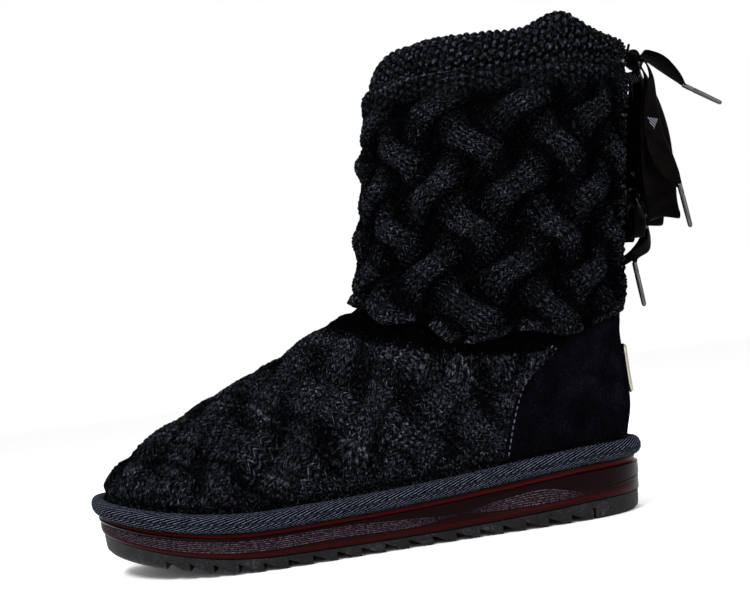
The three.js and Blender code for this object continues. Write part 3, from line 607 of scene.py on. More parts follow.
def tape_material():
    """Twill tape: navy, with slanted threads whose tops carry painted highlights."""
    shader = Shader("twill_tape", (0.004, 0.004, 0.008), 0.7, Specular_IOR_Level=0.01)
    across, along = shader.uv()
    slant = shader.math("ADD", across, shader.math("MULTIPLY", along, TWILL_SLANT))
    rib = shader.math("SINE", shader.math("MULTIPLY", slant, 2 * math.pi / TWILL_THREAD))
    level = shader.math("MULTIPLY_ADD", rib, 0.5, 0.5)
    thread = shader.math("MULTIPLY_ADD", shader.noise(1300, 2), 1.4, 0.2)
    # Painted highlights along the tops of the slanted threads.
    lit = shader.math("MULTIPLY", shader.math("POWER", level, 2.4), thread)
    shader.colour(shader.ramp(
        lit, (0.0, (0.0004, 0.0004, 0.0007)), (0.35, (0.0016, 0.0018, 0.0035)), (0.65, (0.01, 0.012, 0.02)),
        (0.95, (0.12, 0.135, 0.19))
    ))
    shader.bump(level, 0.9, 0.0005)
    shader.bump(shader.noise(2200, 2), 0.3, 0.0002)
    return shader.material


def midsole_material():
    """Polished rubber, black with deep red bands by height that are a painted reflection, and painted
    highlights on its rib crests.
    """
    # The red specular tint also stands in for a reflection of a red surface.
    shader = Shader("midsole_gloss", (0.006, 0.002, 0.0025), 0.3, Specular_IOR_Level=0.04,
                    Specular_Tint=(1, 0.6, 0.6, 1))
    smudge = shader.noise(90, 5)
    shader.roughness(shader.math("MULTIPLY_ADD", smudge, 0.3, 0.14))
    _, level = shader.uv()
    wobble = shader.math("MULTIPLY_ADD", shader.noise(60, 3), 0.06, -0.03)
    # Colour by height: the deep red bands near the foot and under the rand are a painted reflection of a red
    # surface.
    tone = shader.ramp(
        shader.math("ADD", level, wobble),
        (0.0, (0.003, 0.001, 0.0013)), (0.12, (0.02, 0.0014, 0.002)), (0.22, (0.006, 0.001, 0.0014)),
        (0.45, (0.0025, 0.0012, 0.0018)), (0.74, (0.0035, 0.0009, 0.0012)), (0.82, (0.0012, 0.0006, 0.0008)),
        (0.88, (0.04, 0.002, 0.003)), (0.95, (0.012, 0.001, 0.0014)), (1.0, (0.0008, 0.0006, 0.0008)),
    )
    # Painted highlight: a light colour on the rib crests, broken up by noise.
    raised_and_lit = shader.math("MULTIPLY", shader.crest_light(), shader.ramp(
        shader.noise(1100, 2, shader.place((1, 1, 2))), (0.45, (0.05,)), (0.6, (1.0,))
    ))
    shader.colour(shader.mix(raised_and_lit, tone, (0.1, 0.075, 0.1)))
    shader.bump(shader.noise(700, 3), 0.06, 0.0004)
    return shader.material


def outsole_material():
    """Dull moulded rubber with dusty specks."""
    shader = Shader("outsole_rubber", (0.006, 0.006, 0.007), 0.7, Specular_IOR_Level=0.12)
    speck = shader.noise(900, 3)
    cloud = shader.noise(120, 4)
    shader.colour(shader.ramp(
        shader.blend(speck, 0.6, cloud, 0.4),
        (0.4, (0.002, 0.002, 0.0025)), (0.55, (0.006, 0.006, 0.007)), (0.68, (0.03, 0.03, 0.034))
    ))
    shader.roughness(shader.math("MULTIPLY_ADD", speck, 0.4, 0.4))
    shader.bump(speck, 0.35, 0.0003)
    return shader.material


def grained_material(name, base, roughness, grain, dark, light, bumps, **constants):
    """A material whose colour runs from dark to light along a fine grain that also stands out."""
    shader = Shader(name, base, roughness, **constants)
    level = shader.noise(*grain)
    shader.colour(shader.ramp(level, dark, light))
    strength, distance = bumps
    shader.bump(level, strength, distance)
    return shader


def lining_material():
    """Black fleece with a thick pile."""
    return grained_material(
        "fleece_lining", (0.008, 0.008, 0.009), 1.0, (420, 5), (0.35, (0.001, 0.001, 0.0013)),
        (0.7, (0.011, 0.011, 0.013)), (1.0, 0.002), Specular_IOR_Level=0.0
    ).material


def gusset_material():
    """Black brushed cloth, a little rumpled."""
    shader = grained_material(
        "gusset_cloth", (0.002, 0.002, 0.0025), 1.0, (900, 3), (0.35, (0.0006, 0.0006, 0.0008)),
        (0.7, (0.006, 0.006, 0.0075)), (0.6, 0.0004), Specular_IOR_Level=0.0
    )
    shader.bump(shader.noise(60, 3), 0.3, 0.002)
    return shader.material


def thread_material():
    """Grey sewing thread, twisted."""
    return grained_material(
        "stitching", (0.03, 0.03, 0.036), 0.7, (1500, 2), (0.3, (0.008, 0.009, 0.012)),
        (0.65, (0.06, 0.065, 0.08)), (0.5, 0.0002)
    ).material


def ribbon_material():
    """Black satin ribbon with a fine cross weave and now and then a small hatched triangle."""
    shader = Shader("satin_ribbon", (0.001, 0.0008, 0.0009), 0.45, Anisotropic=0.4, Specular_IOR_Level=0.012)
    across, along = shader.uv()
    weft = shader.math("SINE", shader.math("MULTIPLY", along, 2 * math.pi / 0.5))
    warp = shader.math("SINE", shader.math("MULTIPLY", across, 2 * math.pi / 0.35))
    woven = shader.math("ADD", weft, shader.math("MULTIPLY", warp, 0.4))
    satin = shader.ramp(
        shader.noise(150, 3), (0.35, (0.0004, 0.0003, 0.0004)), (0.7, (0.0022, 0.0013, 0.0013))
    )
    share = shader.math("FRACT", shader.math("DIVIDE", along, MARK_PITCH))
    place = shader.math("MULTIPLY", share, MARK_PITCH)
    inside = shader.math("LESS_THAN", shader.math("ABSOLUTE", across),
                         shader.math("MULTIPLY_ADD", place, -0.55, 3.3))
    hatch = shader.math("GREATER_THAN", shader.math(
        "SINE", shader.math("MULTIPLY", shader.math("ADD", along, across), 2 * math.pi / HATCH_PITCH)), 0.2)
    mark = shader.math("MULTIPLY", shader.math("MULTIPLY", inside, hatch), 0.8)
    shader.colour(shader.mix(mark, satin, (0.17, 0.18, 0.22)))
    shader.bump(woven, 0.25, 0.00008)
    shader.bump(shader.noise(90, 3), 0.2, 0.001)
    return shader.material


def tip_material():
    """Black plastic with a clear coat."""
    shader = Shader("ribbon_tip", (0.004, 0.004, 0.005), 0.25, Coat_Weight=0.6, Coat_Roughness=0.08)
    shader.bump(shader.noise(400, 3), 0.12, 0.0004)
    shader.roughness(shader.math("MULTIPLY_ADD", shader.noise(300, 2), 0.2, 0.1))
    return shader.material


def badge_material():
    """A plain satin plate, brushed up and down, with a warm tinge."""
    shader = Shader("satin_metal", (0.3, 0.28, 0.23), 0.34, Metallic=1.0)
    brushed = shader.noise(900, 3, shader.place((1, 1, 0.05)))
    shader.roughness(shader.math("MULTIPLY_ADD", brushed, 0.25, 0.14))
    shader.colour(shader.ramp(
        brushed, (0.3, (0.3, 0.28, 0.23)), (0.7, (0.4, 0.375, 0.31))
    ))
    shader.bump(brushed, 0.15, 0.0002)
    return shader.material


KNIT = knit_material("cable_knit_wool", WALE, 0.5, 1.0)
RIB_KNIT = knit_material("rib_knit_wool", RIB_WALE, 0.35, 0.8)
SUEDE = suede_material()
TAPE = tape_material()
MIDSOLE = midsole_material()
OUTSOLE = outsole_material()
LINING = lining_material()
GUSSET = gusset_material()
RIBBON = ribbon_material()
TIP = tip_material()
BADGE = badge_material()
THREAD = thread_material()

# Camera and lights

AIM = np.array([0.1036, 0.0, 0.1175])
CAMERA_DISTANCE = 0.48
CAMERA_YAW = math.radians(3.0)
CAMERA_HEIGHT = 0.0805
CAMERA_ROLL = math.radians(7.4)
FOCAL_SHARE = 960 / 750


def make_camera():
    """The photograph's view: level with the foot from the outer side, turned clockwise about its axis."""
    eye = AIM + (CAMERA_DISTANCE * math.sin(CAMERA_YAW), CAMERA_DISTANCE * math.cos(CAMERA_YAW), 0)
    eye[2] = CAMERA_HEIGHT
    forward = unit(AIM - eye)
    level_right = unit(np.cross(forward, (0, 0, 1)))
    level_up = np.cross(level_right, forward)
    right = level_right * math.cos(CAMERA_ROLL) - level_up * math.sin(CAMERA_ROLL)
    up = level_right * math.sin(CAMERA_ROLL) + level_up * math.cos(CAMERA_ROLL)
    data = bpy.data.cameras.new("camera")
    data.sensor_width = 36
    data.lens = 36 * FOCAL_SHARE
    data.clip_start = 0.01
    camera = bpy.data.objects.new("camera", data)
    bpy.context.scene.collection.objects.link(camera)
    turn = Matrix((right, up, -forward)).transposed().to_4x4()
    camera.matrix_world = Matrix.Translation(Vector(eye)) @ turn
    bpy.context.scene.camera = camera


def area_light(name, place, target, size, power, colour=(1, 1, 1)):
    data = bpy.data.lights.new(name, "AREA")
    data.shape = "DISK"
    data.size = size
    data.energy = power
    data.color = colour
    lamp = bpy.data.objects.new(name, data)
    lamp.location = place
    lamp.rotation_euler = (Vector(target) - Vector(place)).to_track_quat("-Z", "Y").to_euler()
    bpy.context.scene.collection.objects.link(lamp)


def make_stage():
    floor_mesh = bpy.data.meshes.new("floor")
    reach = 6
    floor_mesh.from_pydata([(-reach, -reach, 0), (reach, -reach, 0), (reach, reach, 0), (-reach, reach, 0)],
                           [], [(0, 1, 2, 3)])
    shader = Shader("pale_floor", (0.97, 0.97, 0.98), 0.8)
    shader.colour(shader.ramp(shader.noise(8, 2), (0.3, (0.96, 0.96, 0.965)), (0.7, (0.98, 0.98, 0.985))))
    floor_mesh.materials.append(shader.material)
    floor = bpy.data.objects.new("floor", floor_mesh)
    bpy.context.scene.collection.objects.link(floor)
    world = bpy.data.worlds.new("studio")
    world.use_nodes = True
    background = world.node_tree.nodes["Background"]
    background.inputs[0].default_value = (1, 1, 1, 1)
    background.inputs[1].default_value = 1.0
    bpy.context.scene.world = world
    area_light("key", (0.45, 0.6, 0.7), (0.09, 0, 0.1), 0.25, 8)
    area_light("fill", (-0.35, 0.8, 0.35), (0.07, 0, 0.1), 0.5, 2)
    area_light("rim", (0.0, -0.7, 0.7), (0.09, 0, 0.12), 0.5, 3)
    bpy.context.scene.view_settings.view_transform = "Standard"


make_camera()
make_stage()

# Ribbons: the part's routes, counted from the knot's middle, with the width's direction and size

UPPER_BOW = {
    "rise": 2.125,
    "tall": 9,
    "reach": 7,
    "over": COLLAR_THICKNESS + COLLAR_BULGE,
    "knot_size": (8.4, 13, 11),
    "loop": [
        ((-0.1, 7.1, -4), (0.3, 0.9, 0.3), 5),
        ((-2.2, 9.5, -13), (0.6, 0.8, 0), 8),
        ((-1.8, 12.5, -26), (0.9, 0.45, 0), 12),
        ((-0.4, 15, -42), (1, 0.25, 0), 16),
        ((1.6, 16.5, -60), (1, 0.2, 0), 18),
        ((2.4, 16.5, -76), (1, 0.2, 0), 17),
        ((1.2, 13, -84.5), (1, 0.15, 0.1), 16),
        ((0.2, 9, -79), (1, 0.1, 0.1), 15),
        ((-1.8, 7, -61), (1, 0.1, 0), 15),
        ((-2.5, 5.2, -42), (1, 0.15, 0), 14),
        ((-2.9, 4.2, -23), (0.9, 0.4, 0), 10),
        ((-1.3, 3.4, -7), (0.5, 0.9, 0), 5),
    ],
    "left_tail": [
        ((-4.5, 0.5, 1.5), (0, 1, 0.2), 7),
        ((-9, 2, -0.6), (0, 1, 0.25), 11),
        ((-14, 3.5, -5.4), (0, 1, 0.3), 12),
        ((-19.5, 5, -12.8), (0, 1, 0.3), 8),
        ((-22.6, 5.5, -18), (0, 1, 0.2), 3.2),
    ],
    "left_tip": (-38.9, 6.5, -29),
    "right_tail": [
        ((-3.4, 5.2, -2.6), (0.5, 0.85, 0), 4.5),
        ((-3.2, 13.4, -13), (0.6, 0.8, 0), 6),
        ((0.6, 18.6, -27), (0.9, 0.45, 0), 8),
        ((2.6, 21, -43), (1, 0.25, 0), 10),
        ((0.8, 22.5, -56), (1, 0.2, 0), 12),
        ((-2.4, 23, -66), (1, 0.2, 0), 9),
        ((-5.3, 23, -72), (1, 0.2, 0), 3.2),
    ],
    "right_tip": (-7.6, 22.5, -92),
}
LOWER_BOW = {
    "rise": 1.328,
    "tall": 8,
    "reach": 5,
    "over": BAND_THICKNESS,
    "knot_size": (7, 10, 9),
    "loop": [
        ((0, 5.7, -2.6), (0.4, 0.9, 0), 4),
        ((0.6, 9, -8), (0.7, 0.7, 0), 6),
        ((2, 12, -14), (0.9, 0.45, 0), 7),
        ((3.4, 12, -19.5), (1, 0.3, 0), 7),
        ((3.6, 8.6, -21.5), (1, 0.1, 0), 7),
        ((2, 5.8, -16), (0.9, 0.3, 0), 6),
        ((0.4, 3.4, -6.2), (0.6, 0.8, 0), 4),
    ],
    "left_tail": [
        ((-3.5, 2.4, -2.8), (0.2, 1, 0), 4),
        ((-4.2, 2.8, -11), (0.2, 1, 0), 4.5),
        ((-3.8, 4.2, -21.5), (0.5, 0.85, 0), 5.5),
        ((0.6, 9.4, -27.5), (0.8, 0.6, 0), 5),
        ((8.4, 15.8, -31.5), (0.9, 0.4, 0), 4),
        ((9.8, 17, -36), (0.9, 0.4, 0), 2.2),
    ],
    "left_tip": (8.5, 17.4, -54),
    "right_tail": [
        ((-3.5, -2.4, -2.8), (0.2, -1, 0), 4),
        ((-4.2, -2.8, -11), (0.2, -1, 0), 4.5),
        ((-3.8, -4.2, -21.5), (0.5, -0.85, 0), 5.5),
        ((0.6, -9.4, -28), (0.8, -0.6, 0), 5),
        ((8.4, -15.8, -33), (0.9, -0.4, 0), 4),
        ((10, -17.4, -38), (0.9, -0.4, 0), 2.2),
    ],
    "right_tip": (10.8, -18.6, -55),
}


def spline(values, count):
    """Catmull-Rom through rows of numbers, evenly in steps between them."""
    values = np.asarray(values, float)
    padded = np.vstack([2 * values[0] - values[1], values, 2 * values[-1] - values[-2]])
    at = np.linspace(0, len(values) - 1 - 1e-9, count)
    i = at.astype(int)
    s = (at - i)[:, None]
    p0, p1, p2, p3 = padded[i], padded[i + 1], padded[i + 2], padded[i + 3]
    return 0.5 * (
        2 * p1 + (p2 - p0) * s + (2 * p0 - 5 * p1 + 4 * p2 - p3) * s ** 2
        + (3 * p1 - p0 - 3 * p2 + p3) * s ** 3
    )


def ribbon(name, stations, steps=14):
    """A flat ribbon with slightly curled edges along a route; gives the piece and its middle line."""
    count = (len(stations) - 1) * steps + 1
    middle = spline([at for at, _, _ in stations], count)
    side = spline([across for _, across, _ in stations], count)
    width = spline([[size] for _, _, size in stations], count)[:, 0]
    along = unit(np.gradient(middle, axis=0))
    side = unit(side - along * np.sum(side * along, axis=1, keepdims=True))
    thin = np.cross(along, side)
    across = np.linspace(-1, 1, 11)
    travelled = run_length(middle)
    cup = 0.035 * width[:, None] * (across ** 2 - 0.4) * np.sin(travelled / 17)[:, None]
    rows, uv = [], []
    for face in (0.5, -0.5):
        order = across if face > 0 else across[::-1]
        bend = cup if face > 0 else cup[:, ::-1]
        edge = np.sqrt(np.maximum(0.04, 1 - order ** 8))
        lift = bend + face * RIBBON_THICKNESS * edge
        offset = side[:, None] * (order[None, :, None] * width[:, None, None] / 2)
        rows.append(middle[:, None] + offset + thin[:, None] * lift[..., None])
        uv.append(stack(order[None] * width[:, None] / 2, travelled[:, None], 0)[..., :2])
    points = np.concatenate(rows, axis=1)
    uvs = np.concatenate(uv, axis=1)
    loop = points.shape[1]
    faces = grid_faces(count, loop, wrap_columns=True, flip=True)
    faces.append(list(range(loop)))
    faces.append([(count - 1) * loop + k for k in reversed(range(loop))])
    piece = mesh_piece(name, points.reshape(-1, 3), faces, RIBBON, uvs.reshape(-1, 2))
    return piece, middle, float(travelled[-1]), float(width.max())


def aglet(name, start, towards):
    """A plastic tip that grips the ribbon's end, with a crimped neck and a rounded nose."""
    start, towards = np.array(start, float), np.array(towards, float)
    along = unit(towards - start)
    side = unit(np.cross(along, (0, 0, 1)))
    other = np.cross(along, side)
    offset = 2.2 * CLEARANCE
    profile = [(-2, 0.2), (-2, 0.8), (-1.6, 0.86), (3, 0.9), (3.6, 0.78), (4.2, 0.9), (12, 0.88),
               (18.6, 0.82), (19.5, 0.66), (19.9, 0.4), (20, 0.1)]
    turns = np.linspace(0, 2 * math.pi, 20, endpoint=False)
    ring = np.cos(turns)[:, None] * side + np.sin(turns)[:, None] * other
    points = np.array([start + along * (offset + at * AGLET_LENGTH / 20) + ring * AGLET_RADIUS * size
                       for at, size in profile])
    faces = grid_faces(len(profile), 20, wrap_columns=True, flip=True)
    faces.append(list(range(20)))
    faces.append([(len(profile) - 1) * 20 + k for k in reversed(range(20))])
    return mesh_piece(name, points.reshape(-1, 3), faces, TIP)


def knot(name, middle, size):
    """A ribbon knot: a rounded lump wrapped by a folded band."""
    rows, columns = 36, 48
    up = np.linspace(0.02, math.pi - 0.02, rows)[:, None]
    around = np.linspace(0, 2 * math.pi, columns, endpoint=False)[None]
    x, y, z = np.sin(up) * np.cos(around), np.sin(up) * np.sin(around), np.cos(up) * np.ones_like(around)
    wrap = np.exp(-(y / 0.42) ** 2)
    folds = 0.05 * np.sin(9 * z + 3 * y) * wrap + 0.06 * np.sin(14 * y + 2 * x) * (1 - wrap)
    grow = 0.86 + 0.14 * wrap + folds
    points = stack(x, y, z) * grow[..., None] * np.array(size) / 2 + np.array(middle)
    faces = grid_faces(rows, columns, wrap_columns=True, flip=False)
    faces.append(list(reversed(range(columns))))
    faces.append([(rows - 1) * columns + k for k in range(columns)])
    uv = stack(y * size[1] / 2, z * size[2] / 2, 0)[..., :2].reshape(-1, 2)
    return mesh_piece(name, points.reshape(-1, 3), faces, RIBBON, uv)


def mirrored(stations):
    return [((at[0], -at[1], at[2]), (across[0], -across[1], across[2]), width)
            for at, across, width in stations]


def knot_place(bow):
    """The middle of a bow's knot, behind its bar."""
    z = float(height(bow["rise"]))
    back_x = float(ring_ends(ring_at_back(z))[0])
    out = bow["over"] + CLEARANCE + BAR_THICKNESS + KNOT_GAP + bow["knot_size"][0] / 2
    return np.array([back_x - out, 0, z])


def make_bow(which, bow):
    """A knot and one ribbon a side, which runs out as a loop, back through the knot and on as a tail."""
    middle = knot_place(bow)
    lump = finish_piece(knot(f"{which}_bow_knot", middle, bow["knot_size"]),
                        [f"bow_{which}_knot"])

    def moved(stations):
        return [(middle + at, across, width) for at, across, width in stations]

    for side in ("left", "right"):
        loop_route = bow["loop"] if side == "left" else mirrored(bow["loop"])
        tail_route = bow[f"{side}_tail"]
        name = f"{which}_bow_ribbon_{side}"
        band, route, length, width = ribbon(name, moved(list(loop_route) + list(tail_route)))
        finish_piece(band, [f"bow_{which}_loop_{side}", f"bow_{which}_tail_{side}"])
        tip = aglet(f"{which}_bow_aglet_{side}", middle + tail_route[-1][0], middle + bow[f"{side}_tip"])
        finish_piece(tip, [f"bow_{which}_aglet_{side}"])


make_bow("upper", UPPER_BOW)
make_bow("lower", LOWER_BOW)

# Knit relief


def stitches(across, along):
    """Height of plain knit, 0 to 1: columns of V-shaped stitches."""
    cell = np.abs(across / WALE - np.floor(across / WALE) - 0.5)
    leg = np.sin(math.pi * np.clip(2 * cell, 0, 1)) ** 0.6
    turn = along / STITCH - cell
    return leg * (0.35 + 0.65 * np.abs(np.cos(math.pi * turn)) ** 0.7)


def rib_bumps(a, b, pitch=RIB_PITCH):
    """Fine rib knit, 0 to 1: columns of small round bumps, every other column half a row higher."""
    column = np.floor(a / pitch)
    across = a / pitch - column - 0.5
    row = b / pitch + 0.5 * (column % 2)
    along = row - np.floor(row) - 0.5
    return np.clip(1 - (across ** 2 + along ** 2) * 4.2, 0, 1) ** 0.6


def lattice(a, b):
    """A plain weave of knitted strands that cross at a shallow angle and then run steeper.

    a and b are in units of the pitch. Gives the strand's height from 0 in a hole to 1, its bulge, and a place
    across and along it.
    """
    slope = 1 + STRAND_SWAY * np.cos(4 * math.pi * b)
    gap = LATTICE_PITCH / np.sqrt(1 + slope ** 2)
    bent = b + STRAND_SWAY * np.sin(4 * math.pi * b) / (4 * math.pi)
    first, second = a - bent, a + bent
    strands = []
    for beside_it, down_it, sign in ((first, second, 1), (second, first, -1)):
        index = np.floor(beside_it)
        across = (beside_it - index - 0.5) * gap
        lift = sign * np.cos(math.pi * (down_it - 0.5 + index))
        bulge = np.sqrt(np.clip(1 - (2 * np.abs(across) / STRAND_WIDTH) ** 2.4, 0, 1))
        along = down_it * LATTICE_PITCH / math.sqrt(2) + index * STRAND_SHIFT
        strands.append((bulge * (0.62 + 0.38 * lift), bulge, across, along))
    under, over = strands
    on_top = over[0] > under[0]
    return tuple(np.where(on_top, high, low) for low, high in zip(under, over))


def value_noise(a, b, size, seed):
    """Smooth random height, -1 to 1, over two coordinates; the same each run."""
    a, b = np.asarray(a, float) / size, np.asarray(b, float) / size
    table = np.random.default_rng(seed).random((64, 64))
    i, j = np.floor(a).astype(int), np.floor(b).astype(int)
    u, v = a - i, b - j
    u, v = u * u * (3 - 2 * u), v * v * (3 - 2 * v)

    def corner(right, down):
        return table[(i + right) % 64, (j + down) % 64]

    return 2 * lerp(lerp(corner(0, 0), corner(1, 0), u), lerp(corner(0, 1), corner(1, 1), u), v) - 1


def uneven(a, b, *layers):
    """Random height over two coordinates, added up from layers of height, size and seed."""
    return sum(tall * value_noise(a, b, size, seed) for tall, size, seed in layers)


# Shaft sleeve


def hem_round(sweep):
    """The ring of the scalloped hem round the sleeve, and how near its front it is, 0 to 1."""
    back_x, _, front_x, _ = ring_ends(HEM_RING)
    x = back_x + (1 - np.cos(sweep * 2 * math.pi)) / 2 * (front_x - back_x)
    wave = np.cos(2 * math.pi * (x - SCALLOP_PLACE) / SCALLOP_LENGTH)
    scallop = SCALLOP_RINGS * wave * (1 - 2.2 * smooth(95, 128, x))
    hem = HEM_RING - 0.016 - scallop + 0.012 * (1 - smooth(0, 35, x))
    return hem, smooth(95, 126, x)


def sleeve_place(up, sweep):
    """Ring, angle and overhang of the sleeve, from its hem at 0 to its top at 1."""
    hem, front = hem_round(sweep)
    ring = lerp(hem, SLEEVE_TOP_RING, up)
    edge_y = slit_half(ring_ends(ring)[1]) + BAND_WIDTH + CLEARANCE
    overhang = HEM_OVERHANG * (1 - smooth(0, 0.06, up)) * (1 - 0.85 * front)
    return ring, open_turn(ring, edge_y, SLEEVE_DEPTH, sweep), overhang, front


def sleeve_lattice(around, p):
    rise = p[..., 2] - LATTICE_TILT * (p[..., 0] - LATTICE_TILT_FROM)
    a = (around - LATTICE_AROUND) / LATTICE_PITCH + uneven(around, rise, (0.05, 23, 3))
    b = (rise - LATTICE_HEIGHT) / LATTICE_PITCH + uneven(rise, around, (0.04, 29, 4))
    return lattice(a, b)


def make_sleeve():
    """The cable-knit sleeve, open at the slit, with a plain rib-knit band under the collar."""
    up, sweep = grid_places(205, 410, 0)
    ring, turn, overhang, front = sleeve_place(up, sweep)
    p = last_point(ring, turn)
    around = turn / math.pi * SLEEVE_GIRTH
    rise, bulge, across, along = sleeve_lattice(around, p)
    knit = stitches(across, along)
    bumps = rib_bumps(around, p[..., 2])
    plain = smooth(0.9, 0.97, up + uneven(turn * 20, 0 * turn, (0.03, 9, 21)))
    strand = 0.6 + STRAND_RELIEF * rise + STITCH_RELIEF * (knit - 0.5) * np.clip(bulge * 2, 0, 1)
    depth = lerp(strand, CUFF_DEPTH + CUFF_RELIEF * bumps, plain)
    depth = depth + uneven(around, p[..., 2], (0.22, 1.7, 5), (0.3, 6, 6))
    edge = np.minimum(smooth(0, 0.012, sweep), smooth(0, 0.012, 1 - sweep))
    foot = smooth(0, 0.022, up)
    drawn_in = edge * (0.7 - 0.35 * front + (0.3 + 0.35 * front) * foot)
    drawn_in = drawn_in * (0.35 + 0.65 * smooth(0, 0.015, 1 - up))
    outer = surface(ring, turn, SLEEVE_GAP + overhang + (depth - 0.2 - overhang) * drawn_in, LEVEL)
    # Painted light for the knit's colour: lit strand and rib-bump tops, darker hollows, and an inside at 0,
    # the darkest.
    crest_light = lerp(smooth(0.15, 0.95, rise) * (0.45 + 0.4 * knit), 0.3 + 0.6 * bumps, plain)
    # Painted highlight along the hem's edge, so that it stands out from the vamp.
    hem_edge_light = (1 - smooth(0.03, 0.09, up)) * smooth(0, 0.004, up)
    crest_light = np.maximum(crest_light, (0.5 + 0.35 * knit) * hem_edge_light)
    ring, turn, overhang, front = sleeve_place(np.linspace(1, 0, 14)[:, None], sweep)
    inside = surface(ring, turn, SLEEVE_GAP + overhang, LEVEL)
    hidden = np.zeros(inside.shape[:2])
    uv = pair(lerp(across, around, plain), lerp(along, p[..., 2], plain))
    uv = np.concatenate([uv, pair(hidden, hidden)])
    piece = grid_piece("shaft_cable_knit", np.concatenate([outer, inside]), KNIT, uv,
                       np.concatenate([crest_light, hidden]), wrap_rows=True)
    finish_piece(piece, ["shaft_sleeve"])


make_sleeve()

# Vamp and lining, which stand for the upper


def knit_depth(ring, relief):
    """Depth of the vamp: it thins out behind the rand and under the sleeve's hem."""
    rise = smooth(RAND_RING, RAND_RING + 0.04, ring)
    fall = 1 - smooth(HEM_RING - 0.026, HEM_RING, ring)
    return 1 + (KNIT_THICKNESS - 1 + relief) * rise * fall - (1 - fall)


def make_vamp():
    """The cable-knit vamp, from behind one side of the counter round the toe to the other."""
    up, sweep = grid_places(205, 400)
    ring = lerp(VAMP_FOOT_RING, HEM_RING + 0.01, up)
    back_x, _, front_x, _ = ring_ends(ring)
    share = (FOOT_LENGTH * COUNTER.read("edge", ring) - COUNTER_OVERLAP - back_x) / (front_x - back_x)
    to_toe = 1 - np.abs(sweep)
    even = np.arccos(np.clip(1 - 2 * lerp(share, 1, to_toe), -1, 1))
    turn = np.where(sweep <= 0, 1, -1) * lerp(even, lerp(np.arccos(1 - 2 * share), math.pi, to_toe), 0.8)
    turn = np.where(turn < 0, turn + 2 * math.pi, turn)
    p = last_point(ring, turn)
    top = np.minimum(ANKLE_HEIGHT, instep_at(p[..., 0]))
    girth = np.sign(np.sin(turn)) * np.hypot(top - p[..., 2], p[..., 1]) * 1.08
    a = p[..., 0] / LATTICE_PITCH + uneven(p[..., 0], girth, (0.05, 21, 7))
    b = (girth + LATTICE_PITCH / 4) / LATTICE_PITCH + uneven(girth, p[..., 0], (0.05, 27, 8))
    rise, bulge, across, along = lattice(a, b)
    knit = stitches(across, along)
    raised_and_lit = smooth(0.09, 0.2, ring)
    strand = VAMP_STRAND_RELIEF * (rise - 0.62) + VAMP_STITCH_RELIEF * (knit - 0.5) * np.clip(bulge * 2, 0, 1)
    fuzz = uneven(p[..., 0], girth, (0.18, 1.6, 9), (0.3, 7, 10))
    outer = surface(ring, turn, knit_depth(ring, lerp(0.2, strand + fuzz, raised_and_lit)))
    # Painted light and shade for the knit's colour: lit strand tops, flat near the rand, and a painted shadow
    # under the sleeve's hem.
    shade = smooth(HEM_RING - 0.062, HEM_RING - 0.03, ring)
    lit = 0.32 + 0.52 * smooth(0.05, 0.75, rise) * (0.6 + 0.4 * knit)
    crest_light = lerp(lerp(0.6, lit, raised_and_lit), -0.4, shade)
    piece = grid_piece("vamp_cable_knit", outer, KNIT, pair(across, along), crest_light)
    finish_piece(piece, ["upper"])


def make_lining():
    """The felt lining, from the insole's edge to the rim, with a cut for the slit at the back."""
    rings_out = np.concatenate([np.linspace(0, RAND_RING, 5), np.linspace(0.1, LINING_TOP_RING, 60)])
    sweep = np.linspace(0, 1, 180)[None]

    def layer(rings, depth):
        ring = rings[:, None]
        back_z = ring_ends(ring)[1]
        edge_y = np.where(back_z > SLIT_FOOT, slit_half(back_z), 0.0)
        return surface(ring, open_turn(ring, edge_y, depth, sweep), depth)

    points = np.concatenate([layer(rings_out, 0.0), layer(rings_out[::-1], -WALL)])
    piece = grid_piece("felt_lining", points, LINING, wrap_rows=True)
    finish_piece(piece, ["upper"])


make_vamp()
make_lining()

# Collar


